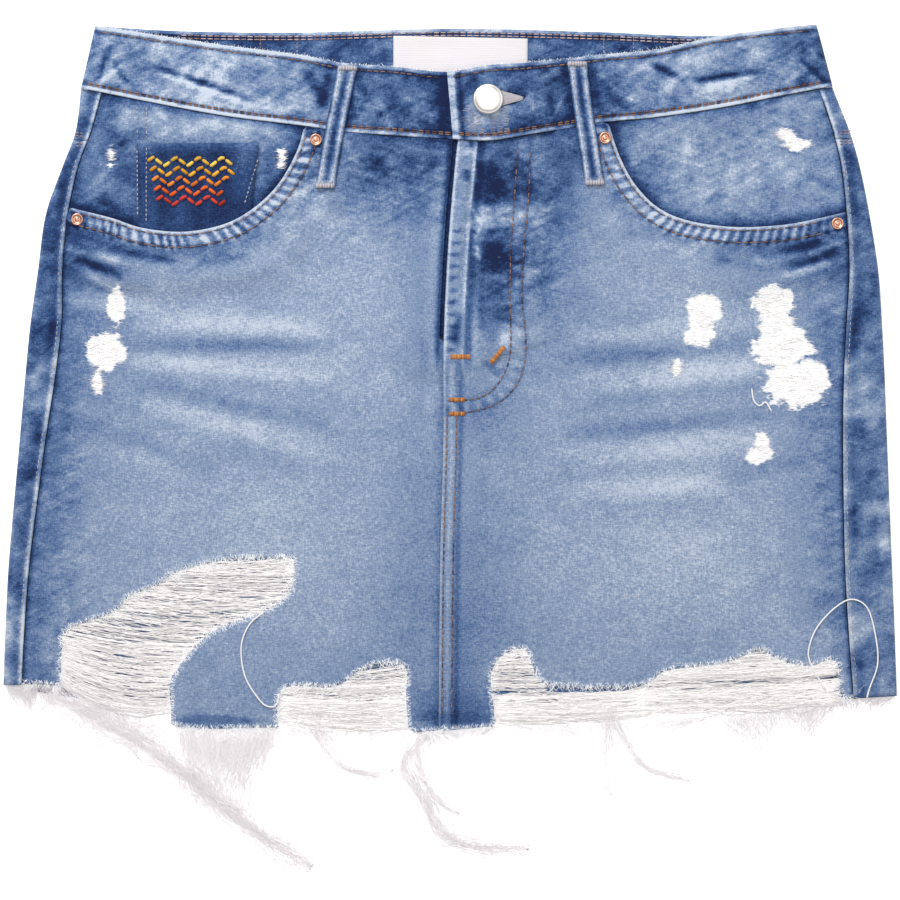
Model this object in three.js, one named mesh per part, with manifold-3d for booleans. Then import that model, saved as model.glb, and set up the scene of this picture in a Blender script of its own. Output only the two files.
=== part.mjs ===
// A denim mini skirt, laid flat on its back with its waist up the +Y axis and its front up the +Z axis.
// Sizes are in millimetres. Left and right are the viewer's, looking down at the front.
import * as THREE from "three";
import { mergeVertices } from "three/addons/utils/BufferGeometryUtils.js";
import Module from "manifold-3d";

const wasm = await Module();
wasm.setup();

// Cloth and the rests between its layers
const DENIM = 1.2;
const BAND = 2.2;
const LAYER_GAP = 0.4;
const SEAM_GAP = 0.3;
const SIDE_SEAM_GAP = 0.55;
const SIDE_FOLD_RADIUS = 2.6;
const BAND_FOLD_RADIUS = 2.9;
const LAYER = DENIM + LAYER_GAP;
const BAND_LAYER = BAND + LAYER_GAP;

// Heights of the front above the surface, under its cloth
const FRONT_REST = LAYER;
const FRONT_AT_SIDE = 2 * SIDE_FOLD_RADIUS;
const SIDE_SLOPE = 48;
const BAND_REST = BAND_LAYER;
const BAND_AT_SIDE = 2 * BAND_FOLD_RADIUS;
const FRONT_AT_WAIST = BAND_REST + (BAND - DENIM) / 2;
const WAIST_SLOPE = 32;

// Side folds and side seams of the body at each height, from the waist down
const SIDES = [
  { y: 200, leftFold: -205, leftSeam: -192, rightSeam: 204, rightFold: 212.5 },
  { y: 176, leftFold: -208, leftSeam: -198.5, rightSeam: 212, rightFold: 222 },
  { y: 157, leftFold: -215, leftSeam: -205.5, rightSeam: 216.5, rightFold: 227.5 },
  { y: 130, leftFold: -224.5, leftSeam: -211.5, rightSeam: 219.5, rightFold: 233 },
  { y: 98, leftFold: -229, leftSeam: -214.5, rightSeam: 221, rightFold: 238 },
  { y: 70, leftFold: -233, leftSeam: -215, rightSeam: 219.5, rightFold: 240 },
  { y: 40, leftFold: -236, leftSeam: -218.5, rightSeam: 218, rightFold: 241.5 },
  { y: 0, leftFold: -239.5, leftSeam: -224.5, rightSeam: 217.5, rightFold: 243 },
  { y: -62, leftFold: -245, leftSeam: -232.5, rightSeam: 218.5, rightFold: 245.5 },
  { y: -100, leftFold: -247, leftSeam: -235.5, rightSeam: 220.5, rightFold: 247 },
  { y: -140, leftFold: -248.4, leftSeam: -237.5, rightSeam: 223.5, rightFold: 248.4 },
];

// Top edge and lower seam of the waistband's front, which droops towards the button
const WAIST = [
  { x: -205, top: 235, seam: 199.5 },
  { x: -166, top: 229.5, seam: 192 },
  { x: -125, top: 223.5, seam: 184.5 },
  { x: -84, top: 218.3, seam: 179.3 },
  { x: -58, top: 213.5, seam: 175.6 },
  { x: -30, top: 211.3, seam: 173.6 },
  { x: -2, top: 208.5, seam: 171.6 },
  { x: 22, top: 212, seam: 170.6 },
  { x: 44, top: 213.4, seam: 174 },
  { x: 64, top: 215.8, seam: 177.3 },
  { x: 84, top: 218.3, seam: 180.8 },
  { x: 113, top: 221, seam: 183.6 },
  { x: 149, top: 228.5, seam: 188.8 },
  { x: 180, top: 232.5, seam: 194.8 },
  { x: 213, top: 235.5, seam: 200.8 },
];
const BACK_TOP = [
  { x: -205, top: 235 },
  { x: -150, top: 231.8 },
  { x: -84, top: 231 },
  { x: 0, top: 233.2 },
  { x: 84, top: 231.2 },
  { x: 149, top: 229.2 },
  { x: 213, top: 235.5 },
];
const BAND_TOP_LEFT = -197;
const BAND_TOP_RIGHT = 203.7;
const BAND_SEAM_LEFT = -205;
const BAND_SEAM_RIGHT = 212.5;
const BAND_END_TOP = -1.7;
const BAND_END_SEAM = 5;
const BAND_UNDERLAP = 38;

// Hems of the front and of the back, which is a little shorter
const HEMS = [
  { x: -248.4, front: -131.5, back: -131.5 },
  { x: -216, front: -132.5, back: -138 },
  { x: -156, front: -154, back: -142 },
  { x: -94, front: -155.5, back: -142 },
  { x: -22, front: -158, back: -142 },
  { x: 29, front: -154.5, back: -142 },
  { x: 130, front: -151, back: -142 },
  { x: 214, front: -140, back: -140 },
  { x: 248.4, front: -137.5, back: -137.5 },
];

// Back yoke seam
const YOKE_CENTRE = 150;
const YOKE_SIDE = 171.5;

// Fly: its edge leans to the left on the way down and runs on as the centre seam
const FLY = [
  { y: 172, edge: 4.2 },
  { y: 120, edge: -0.5 },
  { y: 60, edge: -3.5 },
  { y: 8, edge: -3.6 },
  { y: -60, edge: -5.4 },
  { y: -160, edge: -6.4 },
];
const SLIT_END = 60;
const SLIT_WIDTH = 2.4;
const SHIELD_END = 62;
const SHIELD_RIGHT = 36;
const SHIELD_TUCK = 8;
const SEAM_OVERLAP = 8.5;
const LIFT_RUN = 14;

// Pocket mouths, from the waist seam to the side seam
const LEFT_MOUTH = [
  { x: -79.5, y: 186 },
  { x: -84.4, y: 165.9 },
  { x: -96, y: 145.4 },
  { x: -111.6, y: 131.2 },
  { x: -127.7, y: 123.4 },
  { x: -148.7, y: 119.9 },
  { x: -170.9, y: 122.1 },
  { x: -188.1, y: 127.6 },
  { x: -216, y: 134.5 },
];
const RIGHT_MOUTH = [
  { x: 86, y: 188 },
  { x: 90.5, y: 172 },
  { x: 95.5, y: 159 },
  { x: 103, y: 146 },
  { x: 115, y: 133.8 },
  { x: 132, y: 126.3 },
  { x: 157.6, y: 122.7 },
  { x: 184.3, y: 123.8 },
  { x: 203, y: 127 },
  { x: 224, y: 132 },
];
const FACING_TUCK = 13;
const COIN_POCKET = [
  { x: -174, y: 169 },
  { x: -106, y: 169.5 },
  { x: -112, y: 118 },
  { x: -172, y: 112 },
];

// Largest folds and ridges of the front: each runs from one point to another and fades at its ends
const FOLDS = [
  { name: "fly edge", fromX: 8.5, fromY: 166, toX: 1.5, toY: 84, width: 3.6, rise: 1.5 },
  { name: "fly stitch ridge", fromX: 27, fromY: 164, toX: 29, toY: 70, width: 4, rise: 0.7 },
  { name: "left pocket drag, upper", fromX: -203, fromY: 112, toX: -158, toY: 100, width: 5, rise: 1.1 },
  { name: "left pocket drag, lower", fromX: -206, fromY: 98, toX: -150, toY: 84, width: 6, rise: 0.8 },
  { name: "right pocket drag, upper", fromX: 211, fromY: 112, toX: 168, toY: 100, width: 5, rise: 1.1 },
  { name: "right pocket drag, lower", fromX: 212, fromY: 97, toX: 158, toY: 84, width: 6, rise: 0.8 },
];

// Rips: the two long edges of the left one, and the outlines of the two at the hem
const LEFT_RIP = [
  { y: -61, left: -121, right: -87 },
  { y: -68.3, left: -150, right: -86.5 },
  { y: -76, left: -163, right: -87.5 },
  { y: -82.7, left: -178.5, right: -91 },
  { y: -91, left: -187, right: -104 },
  { y: -100.5, left: -212, right: -129 },
  { y: -110.4, left: -215.3, right: -141.5 },
  { y: -121, left: -216, right: -150 },
  { y: -129.3, left: -216, right: -155.4 },
  { y: -146.5, left: -216, right: -155 },
];
const HEM_RIPS = [
  {
    name: "rip_threads_centre",
    steps: 20,
    outline: [
      { x: -94, y: -170 },
      { x: -94, y: -135 },
      { x: -64, y: -132.6 },
      { x: -46, y: -121.4 },
      { x: -25.5, y: -121 },
      { x: -24.4, y: -139 },
      { x: -22, y: -170 },
    ],
  },
  {
    name: "rip_threads_right",
    steps: 38,
    outline: [
      { x: 28, y: -170 },
      { x: 24.2, y: -144 },
      { x: 23, y: -125 },
      { x: 30, y: -114.9 },
      { x: 41.6, y: -112.1 },
      { x: 47.7, y: -125 },
      { x: 57.7, y: -132.1 },
      { x: 105, y: -132.1 },
      { x: 120.4, y: -123.8 },
      { x: 150.4, y: -119.9 },
      { x: 165, y: -114.9 },
      { x: 172, y: -111.6 },
      { x: 183.2, y: -117.7 },
      { x: 198.7, y: -121 },
      { x: 215.3, y: -121 },
      { x: 214, y: -170 },
    ],
  },
];

// Threads across the rips, whose ends are fused to a narrow strip along the rip's edge
const THREAD_WIDTH = 1.5;
const THREAD_DEPTH = 0.8;
const STRIP_WIDTH = 1.2;
const STRIP_DEPTH = 1;
const LEFT_RIP_THREADS = 21;
const LEFT_RIP_SAG = 4.5;
const LEFT_RIP_END = -129; // the lowest thread's place on the rip's left side
const THREAD_TUCK = 3.5;
const HEM_THREADS = [
  { rip: "rip_threads_centre", fromX: -60, toX: -20, fromY: -125, toY: -130, count: 2, sag: 1.5 },
  { rip: "rip_threads_centre", fromX: -98, toX: -18, fromY: -137, toY: -150, count: 4, sag: 3 },
  { rip: "rip_threads_right", fromX: 18, toX: 52, fromY: -117, toY: -128, count: 4, sag: 1.5 },
  { rip: "rip_threads_right", fromX: 110, toX: 220, fromY: -125, toY: -131, count: 2, sag: 1.5 },
  { rip: "rip_threads_right", fromX: 18, toX: 220, fromY: -135, toY: -141, count: 4, sag: 4 },
];

// Frayed hem: each run of tufts hangs from a narrow strip just below the cloth's edge
const FRAY = [
  { name: "fray_left", fromX: -246, toX: -218, count: 7, length: 20, lean: 3 },
  { name: "fray_left_middle", fromX: -149, toX: -97, count: 12, length: 23, lean: 4 },
  { name: "fray_centre", fromX: -19, toX: 25, count: 10, length: 15, lean: 3 },
  { name: "fray_right", fromX: 217, toX: 246, count: 8, length: 15, lean: 4 },
];
const TUFT_WIDTH = 2.4;
const LOCK_DEPTH = 1.2;
const TUFT_TAPER = 0.5;

// Long loose tufts on the surface below the hem
const LOCKS = [
  {
    name: "fray_left",
    width: 5,
    route: [
      { x: -222, y: -136 },
      { x: -194, y: -152 },
      { x: -166, y: -167.6 },
      { x: -138, y: -190 },
      { x: -105, y: -216 },
      { x: -76.6, y: -233.4 },
    ],
  },
  {
    name: "rip_threads_centre",
    width: 4,
    route: [
      { x: -80, y: -146 },
      { x: -73, y: -160 },
      { x: -61, y: -176 },
      { x: -42, y: -181.5 },
      { x: -32, y: -178 },
    ],
  },
  {
    name: "fray_centre",
    width: 5,
    route: [
      { x: -17, y: -160 },
      { x: -18, y: -172 },
      { x: -14, y: -186 },
      { x: -4, y: -198 },
      { x: 5, y: -204 },
    ],
  },
  {
    name: "fray_centre",
    width: 5,
    route: [
      { x: -14, y: -160 },
      { x: -26, y: -176 },
      { x: -14, y: -196 },
      { x: -6, y: -212 },
      { x: 10, y: -221 },
      { x: 44, y: -223 },
    ],
  },
  {
    name: "rip_threads_right",
    width: 5,
    route: [
      { x: 85, y: -142 },
      { x: 87, y: -160 },
      { x: 86, y: -180 },
      { x: 88, y: -200 },
    ],
  },
  {
    name: "rip_threads_right",
    width: 3,
    route: [
      { x: 88, y: -142 },
      { x: 96, y: -160 },
      { x: 110, y: -178 },
      { x: 133, y: -185 },
    ],
  },
  {
    name: "rip_threads_right",
    width: 6,
    route: [
      { x: 194, y: -140 },
      { x: 198, y: -150 },
      { x: 203, y: -161 },
    ],
  },
];

// Hard trim
const BUTTON_RADIUS = 8.5;
const BUTTON_HEIGHT = 3.4;
const BUTTON_NECK = 1.7;
const BUTTON_AT = { x: 21.1, y: 193.1 };
const BUTTONHOLE_EYE = 2.4;
const BUTTONHOLE_LENGTH = 18;
const RIVET_RADIUS = 3.4;
const RIVET_HEIGHT = 1.3;
const TRIM_SEAT = 0.75; // share of a button's or rivet's radius that the cloth carries
const RIVETS = [
  { name: "rivet_left_inner", x: -74.4, y: 171 },
  { name: "rivet_left_outer", x: -206.5, y: 126.6 },
  { name: "rivet_right_inner", x: 86, y: 172 },
  { name: "rivet_right_outer", x: 214.6, y: 124.4 },
];
const LOOP_WIDTH = 10.8;
const LOOP_THICKNESS = 1.6;
const LOOPS = [
  { name: "belt_loop_left", topX: -56.6, topY: 211.8, bottomX: -69.4, bottomY: 144.3 },
  { name: "belt_loop_right", topX: 70.5, topY: 214.2, bottomX: 80.5, bottomY: 146 },
];
const LABEL = { left: -31.5, right: 43.2, top: 229, bottom: 206.5, slant: 1.5, thickness: 1 };

// Cloth colours from the photo
const PALETTE = {
  denim: { color: 0x8ba0c2, roughness: 0.92, metalness: 0 },
  darkDenim: { color: 0x43598a, roughness: 0.92, metalness: 0 },
  navyDenim: { color: 0x2c3c66, roughness: 0.92, metalness: 0 },
  cotton: { color: 0xe9e7e4, roughness: 0.9, metalness: 0 },
  silver: { color: 0xdedcd6, roughness: 0.3, metalness: 1 },
  copper: { color: 0xc98a6c, roughness: 0.35, metalness: 1 },
};
const { lerp, smoothstep, clamp } = THREE.MathUtils;

// Reads a column of a table at a place between its rows, along a smooth curve through them.
function reading(rows, axis, column, at) {
  const sorted = rows[0][axis] < rows[rows.length - 1][axis] ? rows : [...rows].reverse();
  const place = clamp(at, sorted[0][axis], sorted[sorted.length - 1][axis]);
  let k = 0;
  while (k < sorted.length - 2 && place > sorted[k + 1][axis]) k += 1;
  const slope = (a, b) => (sorted[b][column] - sorted[a][column]) / (sorted[b][axis] - sorted[a][axis]);
  const span = sorted[k + 1][axis] - sorted[k][axis];
  const startSlope = slope(Math.max(k - 1, 0), k + 1) * span;
  const endSlope = slope(k, Math.min(k + 2, sorted.length - 1)) * span;
  const t = (place - sorted[k][axis]) / span;
  return (
    (2 * t ** 3 - 3 * t ** 2 + 1) * sorted[k][column] +
    (t ** 3 - 2 * t ** 2 + t) * startSlope +
    (3 * t ** 2 - 2 * t ** 3) * sorted[k + 1][column] +
    (t ** 3 - t ** 2) * endSlope
  );
}

const leftSeam = (y) => reading(SIDES, "y", "leftSeam", y);
const rightSeam = (y) => reading(SIDES, "y", "rightSeam", y);
const waistSeam = (x) => reading(WAIST, "x", "seam", x);
const waistTop = (x) => reading(WAIST, "x", "top", x);
const backWaistTop = (x) => reading(BACK_TOP, "x", "top", x);
const backWaistSeam = (x) => {
  const across = (x - BAND_SEAM_LEFT) / (BAND_SEAM_RIGHT - BAND_SEAM_LEFT);
  return lerp(waistSeam(BAND_SEAM_LEFT), waistSeam(BAND_SEAM_RIGHT), across);
};
const frontHem = (x) => reading(HEMS, "x", "front", x);
const backHem = (x) => reading(HEMS, "x", "back", x);
const flyEdge = (y) => reading(FLY, "y", "edge", y);

// Points of a smooth line through a short table, and the same line moved sideways to its left.
function smoothLine(rows, steps) {
  return new THREE.SplineCurve(rows.map((row) => new THREE.Vector2(row.x, row.y))).getPoints(steps);
}
function movedLine(points, distance) {
  return points.map((point, i) => {
    const before = points[Math.max(i - 1, 0)];
    const after = points[Math.min(i + 1, points.length - 1)];
    const along = after.clone().sub(before).normalize();
    return new THREE.Vector2(point.x - along.y * distance, point.y + along.x * distance);
  });
}
function evenly(from, to, step) {
  const count = Math.max(1, Math.round(Math.abs(to - from) / step));
  return Array.from({ length: count + 1 }, (_, i) => lerp(from, to, i / count));
}
function distanceToLine(points, x, y) {
  const place = new THREE.Vector3(x, y, 0);
  const nearest = new THREE.Vector3();
  const piece = new THREE.Line3();
  let least = Infinity;
  for (let i = 0; i < points.length - 1; i += 1) {
    piece.start.set(points[i].x, points[i].y, 0);
    piece.end.set(points[i + 1].x, points[i + 1].y, 0);
    piece.closestPointToPoint(place, true, nearest);
    least = Math.min(least, nearest.distanceTo(place));
  }
  return least;
}

// Solids
function solidOf(geometry) {
  const bare = geometry.clone();
  bare.deleteAttribute("normal");
  bare.deleteAttribute("uv");
  const merged = mergeVertices(bare, 1e-4);
  const triVerts = new Uint32Array(merged.index.array);
  const points = merged.attributes.position;
  const [a, b, c] = [new THREE.Vector3(), new THREE.Vector3(), new THREE.Vector3()];
  let volume = 0;
  for (let i = 0; i < triVerts.length; i += 3) {
    a.fromBufferAttribute(points, triVerts[i]);
    b.fromBufferAttribute(points, triVerts[i + 1]);
    c.fromBufferAttribute(points, triVerts[i + 2]);
    volume += a.dot(b.cross(c));
  }
  if (volume < 0) triVerts.reverse();
  return new wasm.Manifold(new wasm.Mesh({ numProp: 3, vertProperties: points.array, triVerts }));
}
function meshOf(name, solid, look) {
  const made = solid.getMesh();
  const geometry = new THREE.BufferGeometry();
  geometry.setAttribute("position", new THREE.BufferAttribute(new Float32Array(made.vertProperties), 3));
  geometry.setIndex(new THREE.BufferAttribute(new Uint32Array(made.triVerts), 1));
  geometry.computeVertexNormals();
  const mesh = new THREE.Mesh(geometry, new THREE.MeshStandardMaterial(PALETTE[look]));
  mesh.name = name;
  return mesh;
}

// A closed wall of cloth: a grid of columns and rows with an outer and an inner face and rims all round.
function wall(columns, rows, pointAt) {
  const positions = [];
  const index = [];
  for (const face of [1, -1]) {
    for (let i = 0; i < columns; i += 1) {
      for (let j = 0; j < rows; j += 1) positions.push(...pointAt(i, j, face));
    }
  }
  const inner = columns * rows;
  const quad = (p, q, r, s) => index.push(p, q, r, p, r, s);
  for (let i = 0; i < columns - 1; i += 1) {
    for (let j = 0; j < rows - 1; j += 1) {
      const corner = i * rows + j;
      quad(corner, corner + rows, corner + rows + 1, corner + 1);
      quad(inner + corner + 1, inner + corner + rows + 1, inner + corner + rows, inner + corner);
    }
  }
  for (let i = 0; i < columns - 1; i += 1) {
    const near = i * rows;
    const far = near + rows - 1;
    quad(near, inner + near, inner + near + rows, near + rows);
    quad(far + rows, inner + far + rows, inner + far, far);
  }
  for (let j = 0; j < rows - 1; j += 1) {
    const last = (columns - 1) * rows + j;
    quad(j + 1, inner + j + 1, inner + j, j);
    quad(last, inner + last, inner + last + 1, last + 1);
  }
  const geometry = new THREE.BufferGeometry();
  geometry.setAttribute("position", new THREE.Float32BufferAttribute(positions, 3));
  geometry.setIndex(index);
  return solidOf(geometry);
}

// A straight-sided block over an outline, for cutting cloth to shape.
const BLOCK_LOW = -4;
const BLOCK_HIGH = 30;
function block(outline, low = BLOCK_LOW, high = BLOCK_HIGH) {
  const geometry = new THREE.ExtrudeGeometry(new THREE.Shape(outline), {
    depth: high - low,
    bevelEnabled: false,
  });
  geometry.translate(0, 0, low);
  return solidOf(geometry);
}

// A flat strand along a route of 3-D points, narrower towards its far end where it has a taper.
function strand(points, width, depth, taper = 0) {
  return wall(2, points.length, (i, j, face) => {
    const before = points[Math.max(j - 1, 0)];
    const after = points[Math.min(j + 1, points.length - 1)];
    const along = new THREE.Vector2(after.x - before.x, after.y - before.y).normalize();
    const half = (width / 2) * (1 - (taper * j) / (points.length - 1)) * (i === 0 ? 1 : -1);
    const { x, y, z } = points[j];
    return [x - along.y * half, y + along.x * half, z + (face * depth) / 2];
  });
}

// Heights of the front
function foldRise(x, y) {
  let rise = 0;
  for (const fold of FOLDS) {
    const [dx, dy] = [fold.toX - fold.fromX, fold.toY - fold.fromY];
    const along = clamp(((x - fold.fromX) * dx + (y - fold.fromY) * dy) / (dx * dx + dy * dy), 0, 1);
    const away = Math.hypot(x - fold.fromX - along * dx, y - fold.fromY - along * dy) / fold.width;
    rise += fold.rise * Math.exp(-away * away) * Math.sqrt(Math.sin(Math.PI * along));
  }
  return rise;
}
function frontHeight(x, y) {
  const nearSide = 1 - smoothstep(Math.min(x - leftSeam(y), rightSeam(y) - x), 0, SIDE_SLOPE);
  const nearWaist = 1 - smoothstep(waistSeam(x) - y, 0, WAIST_SLOPE);
  return (
    FRONT_REST +
    (FRONT_AT_SIDE - FRONT_REST) * nearSide +
    (FRONT_AT_WAIST - FRONT_REST) * nearWaist * (1 - nearSide)
  );
}

// What a front panel is lifted by: its pocket facing, the coin pocket, the fly shield and the other panel
const MOUTH_STEPS = 30;
const leftMouth = smoothLine(LEFT_MOUTH, MOUTH_STEPS);
const rightMouth = smoothLine(RIGHT_MOUTH, MOUTH_STEPS);
const coinLeft = Math.min(...COIN_POCKET.map((corner) => corner.x));
const coinRight = Math.max(...COIN_POCKET.map((corner) => corner.x));
const coinLow = Math.min(...COIN_POCKET.map((corner) => corner.y));
function fadeBeyond(distance, full) {
  return 1 - smoothstep(distance, full, full + LIFT_RUN);
}
function leftLift(x, y) {
  const pocket = fadeBeyond(distanceToLine(leftMouth, x, y), FACING_TUCK + LIFT_RUN);
  const coin =
    fadeBeyond(Math.max(coinLeft - x, x - coinRight, 0), LIFT_RUN) * fadeBeyond(coinLow - y, LIFT_RUN);
  const shield =
    fadeBeyond(flyEdge(y) - SHIELD_TUCK - x, LIFT_RUN / 2) *
    smoothstep(y, SHIELD_END - 2 * LIFT_RUN, SHIELD_END - LIFT_RUN);
  return LAYER * (Math.max(pocket, shield) + coin);
}
function rightLift(x, y) {
  const pocket = fadeBeyond(distanceToLine(rightMouth, x, y), FACING_TUCK + LIFT_RUN);
  const overShield = smoothstep(y, SLIT_END - LIFT_RUN, SLIT_END);
  const under = lerp(flyEdge(y) + SEAM_OVERLAP, SHIELD_RIGHT, overShield);
  const overlap = fadeBeyond(x - under, LIFT_RUN / 2);
  const doubled =
    smoothstep(y, SHIELD_END - 2 * LIFT_RUN, SHIELD_END - LIFT_RUN) *
    (1 - smoothstep(y, SHIELD_END + LIFT_RUN / 2, SHIELD_END + 2 * LIFT_RUN)) *
    fadeBeyond(x - flyEdge(y) - SEAM_OVERLAP, LIFT_RUN / 2);
  return LAYER * (Math.max(pocket, overlap) + doubled);
}

// Grid lines that all pieces of the front share, finer at the fly, the pockets and the waist
const COLUMNS = [
  ...evenly(-250, -36, 16),
  ...evenly(-27, 41, 6.2),
  ...evenly(52, 236, 16),
];
const ROWS = [...evenly(-180, 8, 26), ...evenly(20, 204, 11.5)];
function frontSheet(outline, lift, thickness = DENIM, rise = foldRise) {
  const xs = outline.map((point) => point.x);
  const ys = outline.map((point) => point.y);
  const within = (lines, values) => {
    const first = lines.findLastIndex((line) => line < Math.min(...values));
    const last = lines.findIndex((line) => line > Math.max(...values));
    return lines.slice(first, last + 1);
  };
  const columns = within(COLUMNS, xs);
  const rows = within(ROWS, ys);
  const sheet = wall(columns.length, rows.length, (i, j, face) => {
    const [x, y] = [columns[i], rows[j]];
    const low = frontHeight(x, y) + lift(x, y) + rise(x, y);
    return [x, y, face > 0 ? low + thickness : low];
  });
  return sheet.intersect(block(outline));
}

// Outlines of the front panels, before their pocket mouths and rips are cut away
const OUTLINE_STEP = 9;
const SKIRT_SPAN = 260;
const line = (values, pointAt) => values.map((value) => new THREE.Vector2(...pointAt(value)));
const topOf = (x) => waistSeam(x) - SEAM_GAP;
const LEFT_TOP = { inner: 1.6, outer: -191.6 };
const RIGHT_TOP = { inner: 4.4, outer: 203.4 };
const SIDE_START = 194;
const LEFT_SIDE_END = -126;
const RIGHT_SIDE_END = -131;
const HEM_CORNER = -140;
const CENTRE_HEM = -156;
const CENTRE_START = CENTRE_HEM + 4;
const FLY_START = 166;
const SLIT_BEND = 6;
const SLIT_BEND_STEP = 3;
const leftEdge = (y) => {
  const open = smoothstep(y, SLIT_END - SLIT_BEND, SLIT_END);
  return flyEdge(y) + lerp(SEAM_OVERLAP, -SLIT_WIDTH, open);
};
const leftOutline = [
  ...line(evenly(LEFT_TOP.inner, LEFT_TOP.outer, OUTLINE_STEP), (x) => [x, topOf(x)]),
  ...line(evenly(SIDE_START, LEFT_SIDE_END, OUTLINE_STEP), (y) => [leftSeam(y), y]),
  ...line(evenly(leftSeam(HEM_CORNER), leftEdge(CENTRE_HEM), OUTLINE_STEP), (x) => [x, frontHem(x)]),
  ...line(evenly(CENTRE_START, SLIT_END - 2 * SLIT_BEND, OUTLINE_STEP), (y) => [leftEdge(y), y]),
  ...line(evenly(SLIT_END - SLIT_BEND, SLIT_END, SLIT_BEND_STEP), (y) => [leftEdge(y), y]),
  ...line(evenly(SLIT_END + OUTLINE_STEP, FLY_START, OUTLINE_STEP), (y) => [leftEdge(y), y]),
];
const rightOutline = [
  ...line(evenly(RIGHT_TOP.inner, RIGHT_TOP.outer, OUTLINE_STEP), (x) => [x, topOf(x)]),
  ...line(evenly(SIDE_START, RIGHT_SIDE_END, OUTLINE_STEP), (y) => [rightSeam(y), y]),
  ...line(evenly(rightSeam(HEM_CORNER), flyEdge(CENTRE_HEM), OUTLINE_STEP), (x) => [x, frontHem(x)]),
  ...line(evenly(CENTRE_START, FLY_START, OUTLINE_STEP), (y) => [flyEdge(y), y]),
];

// The area above a pocket mouth, out past the side and the waist
function mouthArea(mouth, side) {
  return block([
    ...mouth,
    new THREE.Vector2(side * SKIRT_SPAN, mouth[mouth.length - 1].y),
    new THREE.Vector2(side * SKIRT_SPAN, SKIRT_SPAN),
    new THREE.Vector2(mouth[0].x, SKIRT_SPAN),
  ]);
}
const leftMouthArea = mouthArea(leftMouth, -1);
const rightMouthArea = mouthArea(rightMouth, 1);

// The rips' outlines, running down past the hem
const BELOW_HEM = -175;
const leftRipEdges = [
  ...[...LEFT_RIP].reverse().map((row) => ({ x: row.left, y: row.y })),
  ...LEFT_RIP.map((row) => ({ x: row.right, y: row.y })),
];
function ripOutline(rows, steps) {
  const edge = smoothLine(rows, steps);
  return [
    new THREE.Vector2(edge[0].x, BELOW_HEM),
    ...edge,
    new THREE.Vector2(edge[edge.length - 1].x, BELOW_HEM),
  ];
}
const LEFT_RIP_STEPS = 30;
const RIPS = [
  { name: "rip_threads_left", outline: ripOutline(leftRipEdges, LEFT_RIP_STEPS) },
  ...HEM_RIPS.map((rip) => ({ name: rip.name, outline: ripOutline(rip.outline, rip.steps) })),
];

// Front panels
const [leftRip, centreRip, rightRip] = RIPS.map((rip) => block(rip.outline));
const frontLeft = frontSheet(leftOutline, leftLift)
  .subtract(leftMouthArea)
  .subtract(leftRip)
  .subtract(centreRip);
const frontRight = frontSheet(rightOutline, rightLift)
  .subtract(rightMouthArea)
  .subtract(rightRip);

// The shield under the closed fly, and the facings behind the pocket mouths
const noLift = () => 0;
const SHIELD_CORNER = 12;
const shieldOutline = [
  ...line(evenly(flyEdge(FLY_START) - SHIELD_TUCK, SHIELD_RIGHT, OUTLINE_STEP), (x) => [x, topOf(x)]),
  new THREE.Vector2(SHIELD_RIGHT, SHIELD_END + SHIELD_CORNER),
  new THREE.Vector2(SHIELD_RIGHT - SHIELD_CORNER, SHIELD_END),
  ...line(evenly(SHIELD_END, FLY_START, 2 * OUTLINE_STEP), (y) => [flyEdge(y) - SHIELD_TUCK, y]),
];
const flyShield = frontSheet(shieldOutline, noLift, DENIM, noLift);
function facing(outline, mouth, side) {
  const tucked = movedLine(mouth, -side * FACING_TUCK);
  return frontSheet(outline, noLift, DENIM, noLift).intersect(mouthArea(tucked, side));
}
const facingLeft = facing(leftOutline, leftMouth, -1);
const facingRight = facing(rightOutline, rightMouth, 1);
const coinPocket = frontSheet(
  COIN_POCKET.map((corner) => new THREE.Vector2(corner.x, corner.y)),
  () => LAYER,
  DENIM,
  noLift,
);

// Stations of a body section: from the centre back out under the skirt, up round the side fold and in to the seam
const FOLD_STEPS = 6;
const UNDER_SHARES = [0, 0.35, 0.7, 0.9, 1];
const OVER_SHARES = [0, 0.5, 1];
const BODY_STATIONS = [
  ...UNDER_SHARES.map((share) => ({ under: share })),
  ...Array.from({ length: FOLD_STEPS - 1 }, (_, k) => ({ turn: ((k + 1) / FOLD_STEPS - 0.5) * Math.PI })),
  ...OVER_SHARES.map((share) => ({ over: share })),
];
function yokeSeam(x) {
  const share = clamp(Math.abs(x) / SIDES[0].rightFold, 0, 1);
  return lerp(YOKE_CENTRE, YOKE_SIDE, share);
}
function bodyPoint(side, station, y, face) {
  const name = side < 0 ? "left" : "right";
  const fold = reading(SIDES, "y", name + "Fold", y);
  const seam = reading(SIDES, "y", name + "Seam", y) + side * SIDE_SEAM_GAP;
  const turnX = fold - side * (DENIM / 2 + SIDE_FOLD_RADIUS);
  const reach = SIDE_FOLD_RADIUS + (face * DENIM) / 2;
  const middle = DENIM / 2 + SIDE_FOLD_RADIUS;
  if (station.under !== undefined) {
    return [lerp((side * SEAM_GAP) / 2, turnX, station.under), middle - reach];
  }
  if (station.over !== undefined) return [lerp(turnX, seam, station.over), middle + reach];
  return [turnX + side * reach * Math.cos(station.turn), middle + reach * Math.sin(station.turn)];
}
function backPiece(side, rowShares, topAt, bottomAt) {
  return wall(BODY_STATIONS.length, rowShares.length, (i, j, face) => {
    const station = BODY_STATIONS[i];
    const inFront = station.over !== undefined || station.turn > 0;
    let y = 0;
    for (let pass = 0; pass < 3; pass += 1) {
      const [x] = bodyPoint(side, station, y, face);
      y = lerp(topAt(x, inFront), bottomAt(x, inFront), rowShares[j]);
    }
    const [x, z] = bodyPoint(side, station, y, face);
    return [x, y, z];
  });
}
const evenShares = (count) => evenly(0, 1, 1 / count);
const backTop = (x, inFront) =>
  (inFront ? waistSeam(x) : backWaistSeam(x)) - SEAM_GAP;
const YOKE_ROWS = 3;
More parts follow.
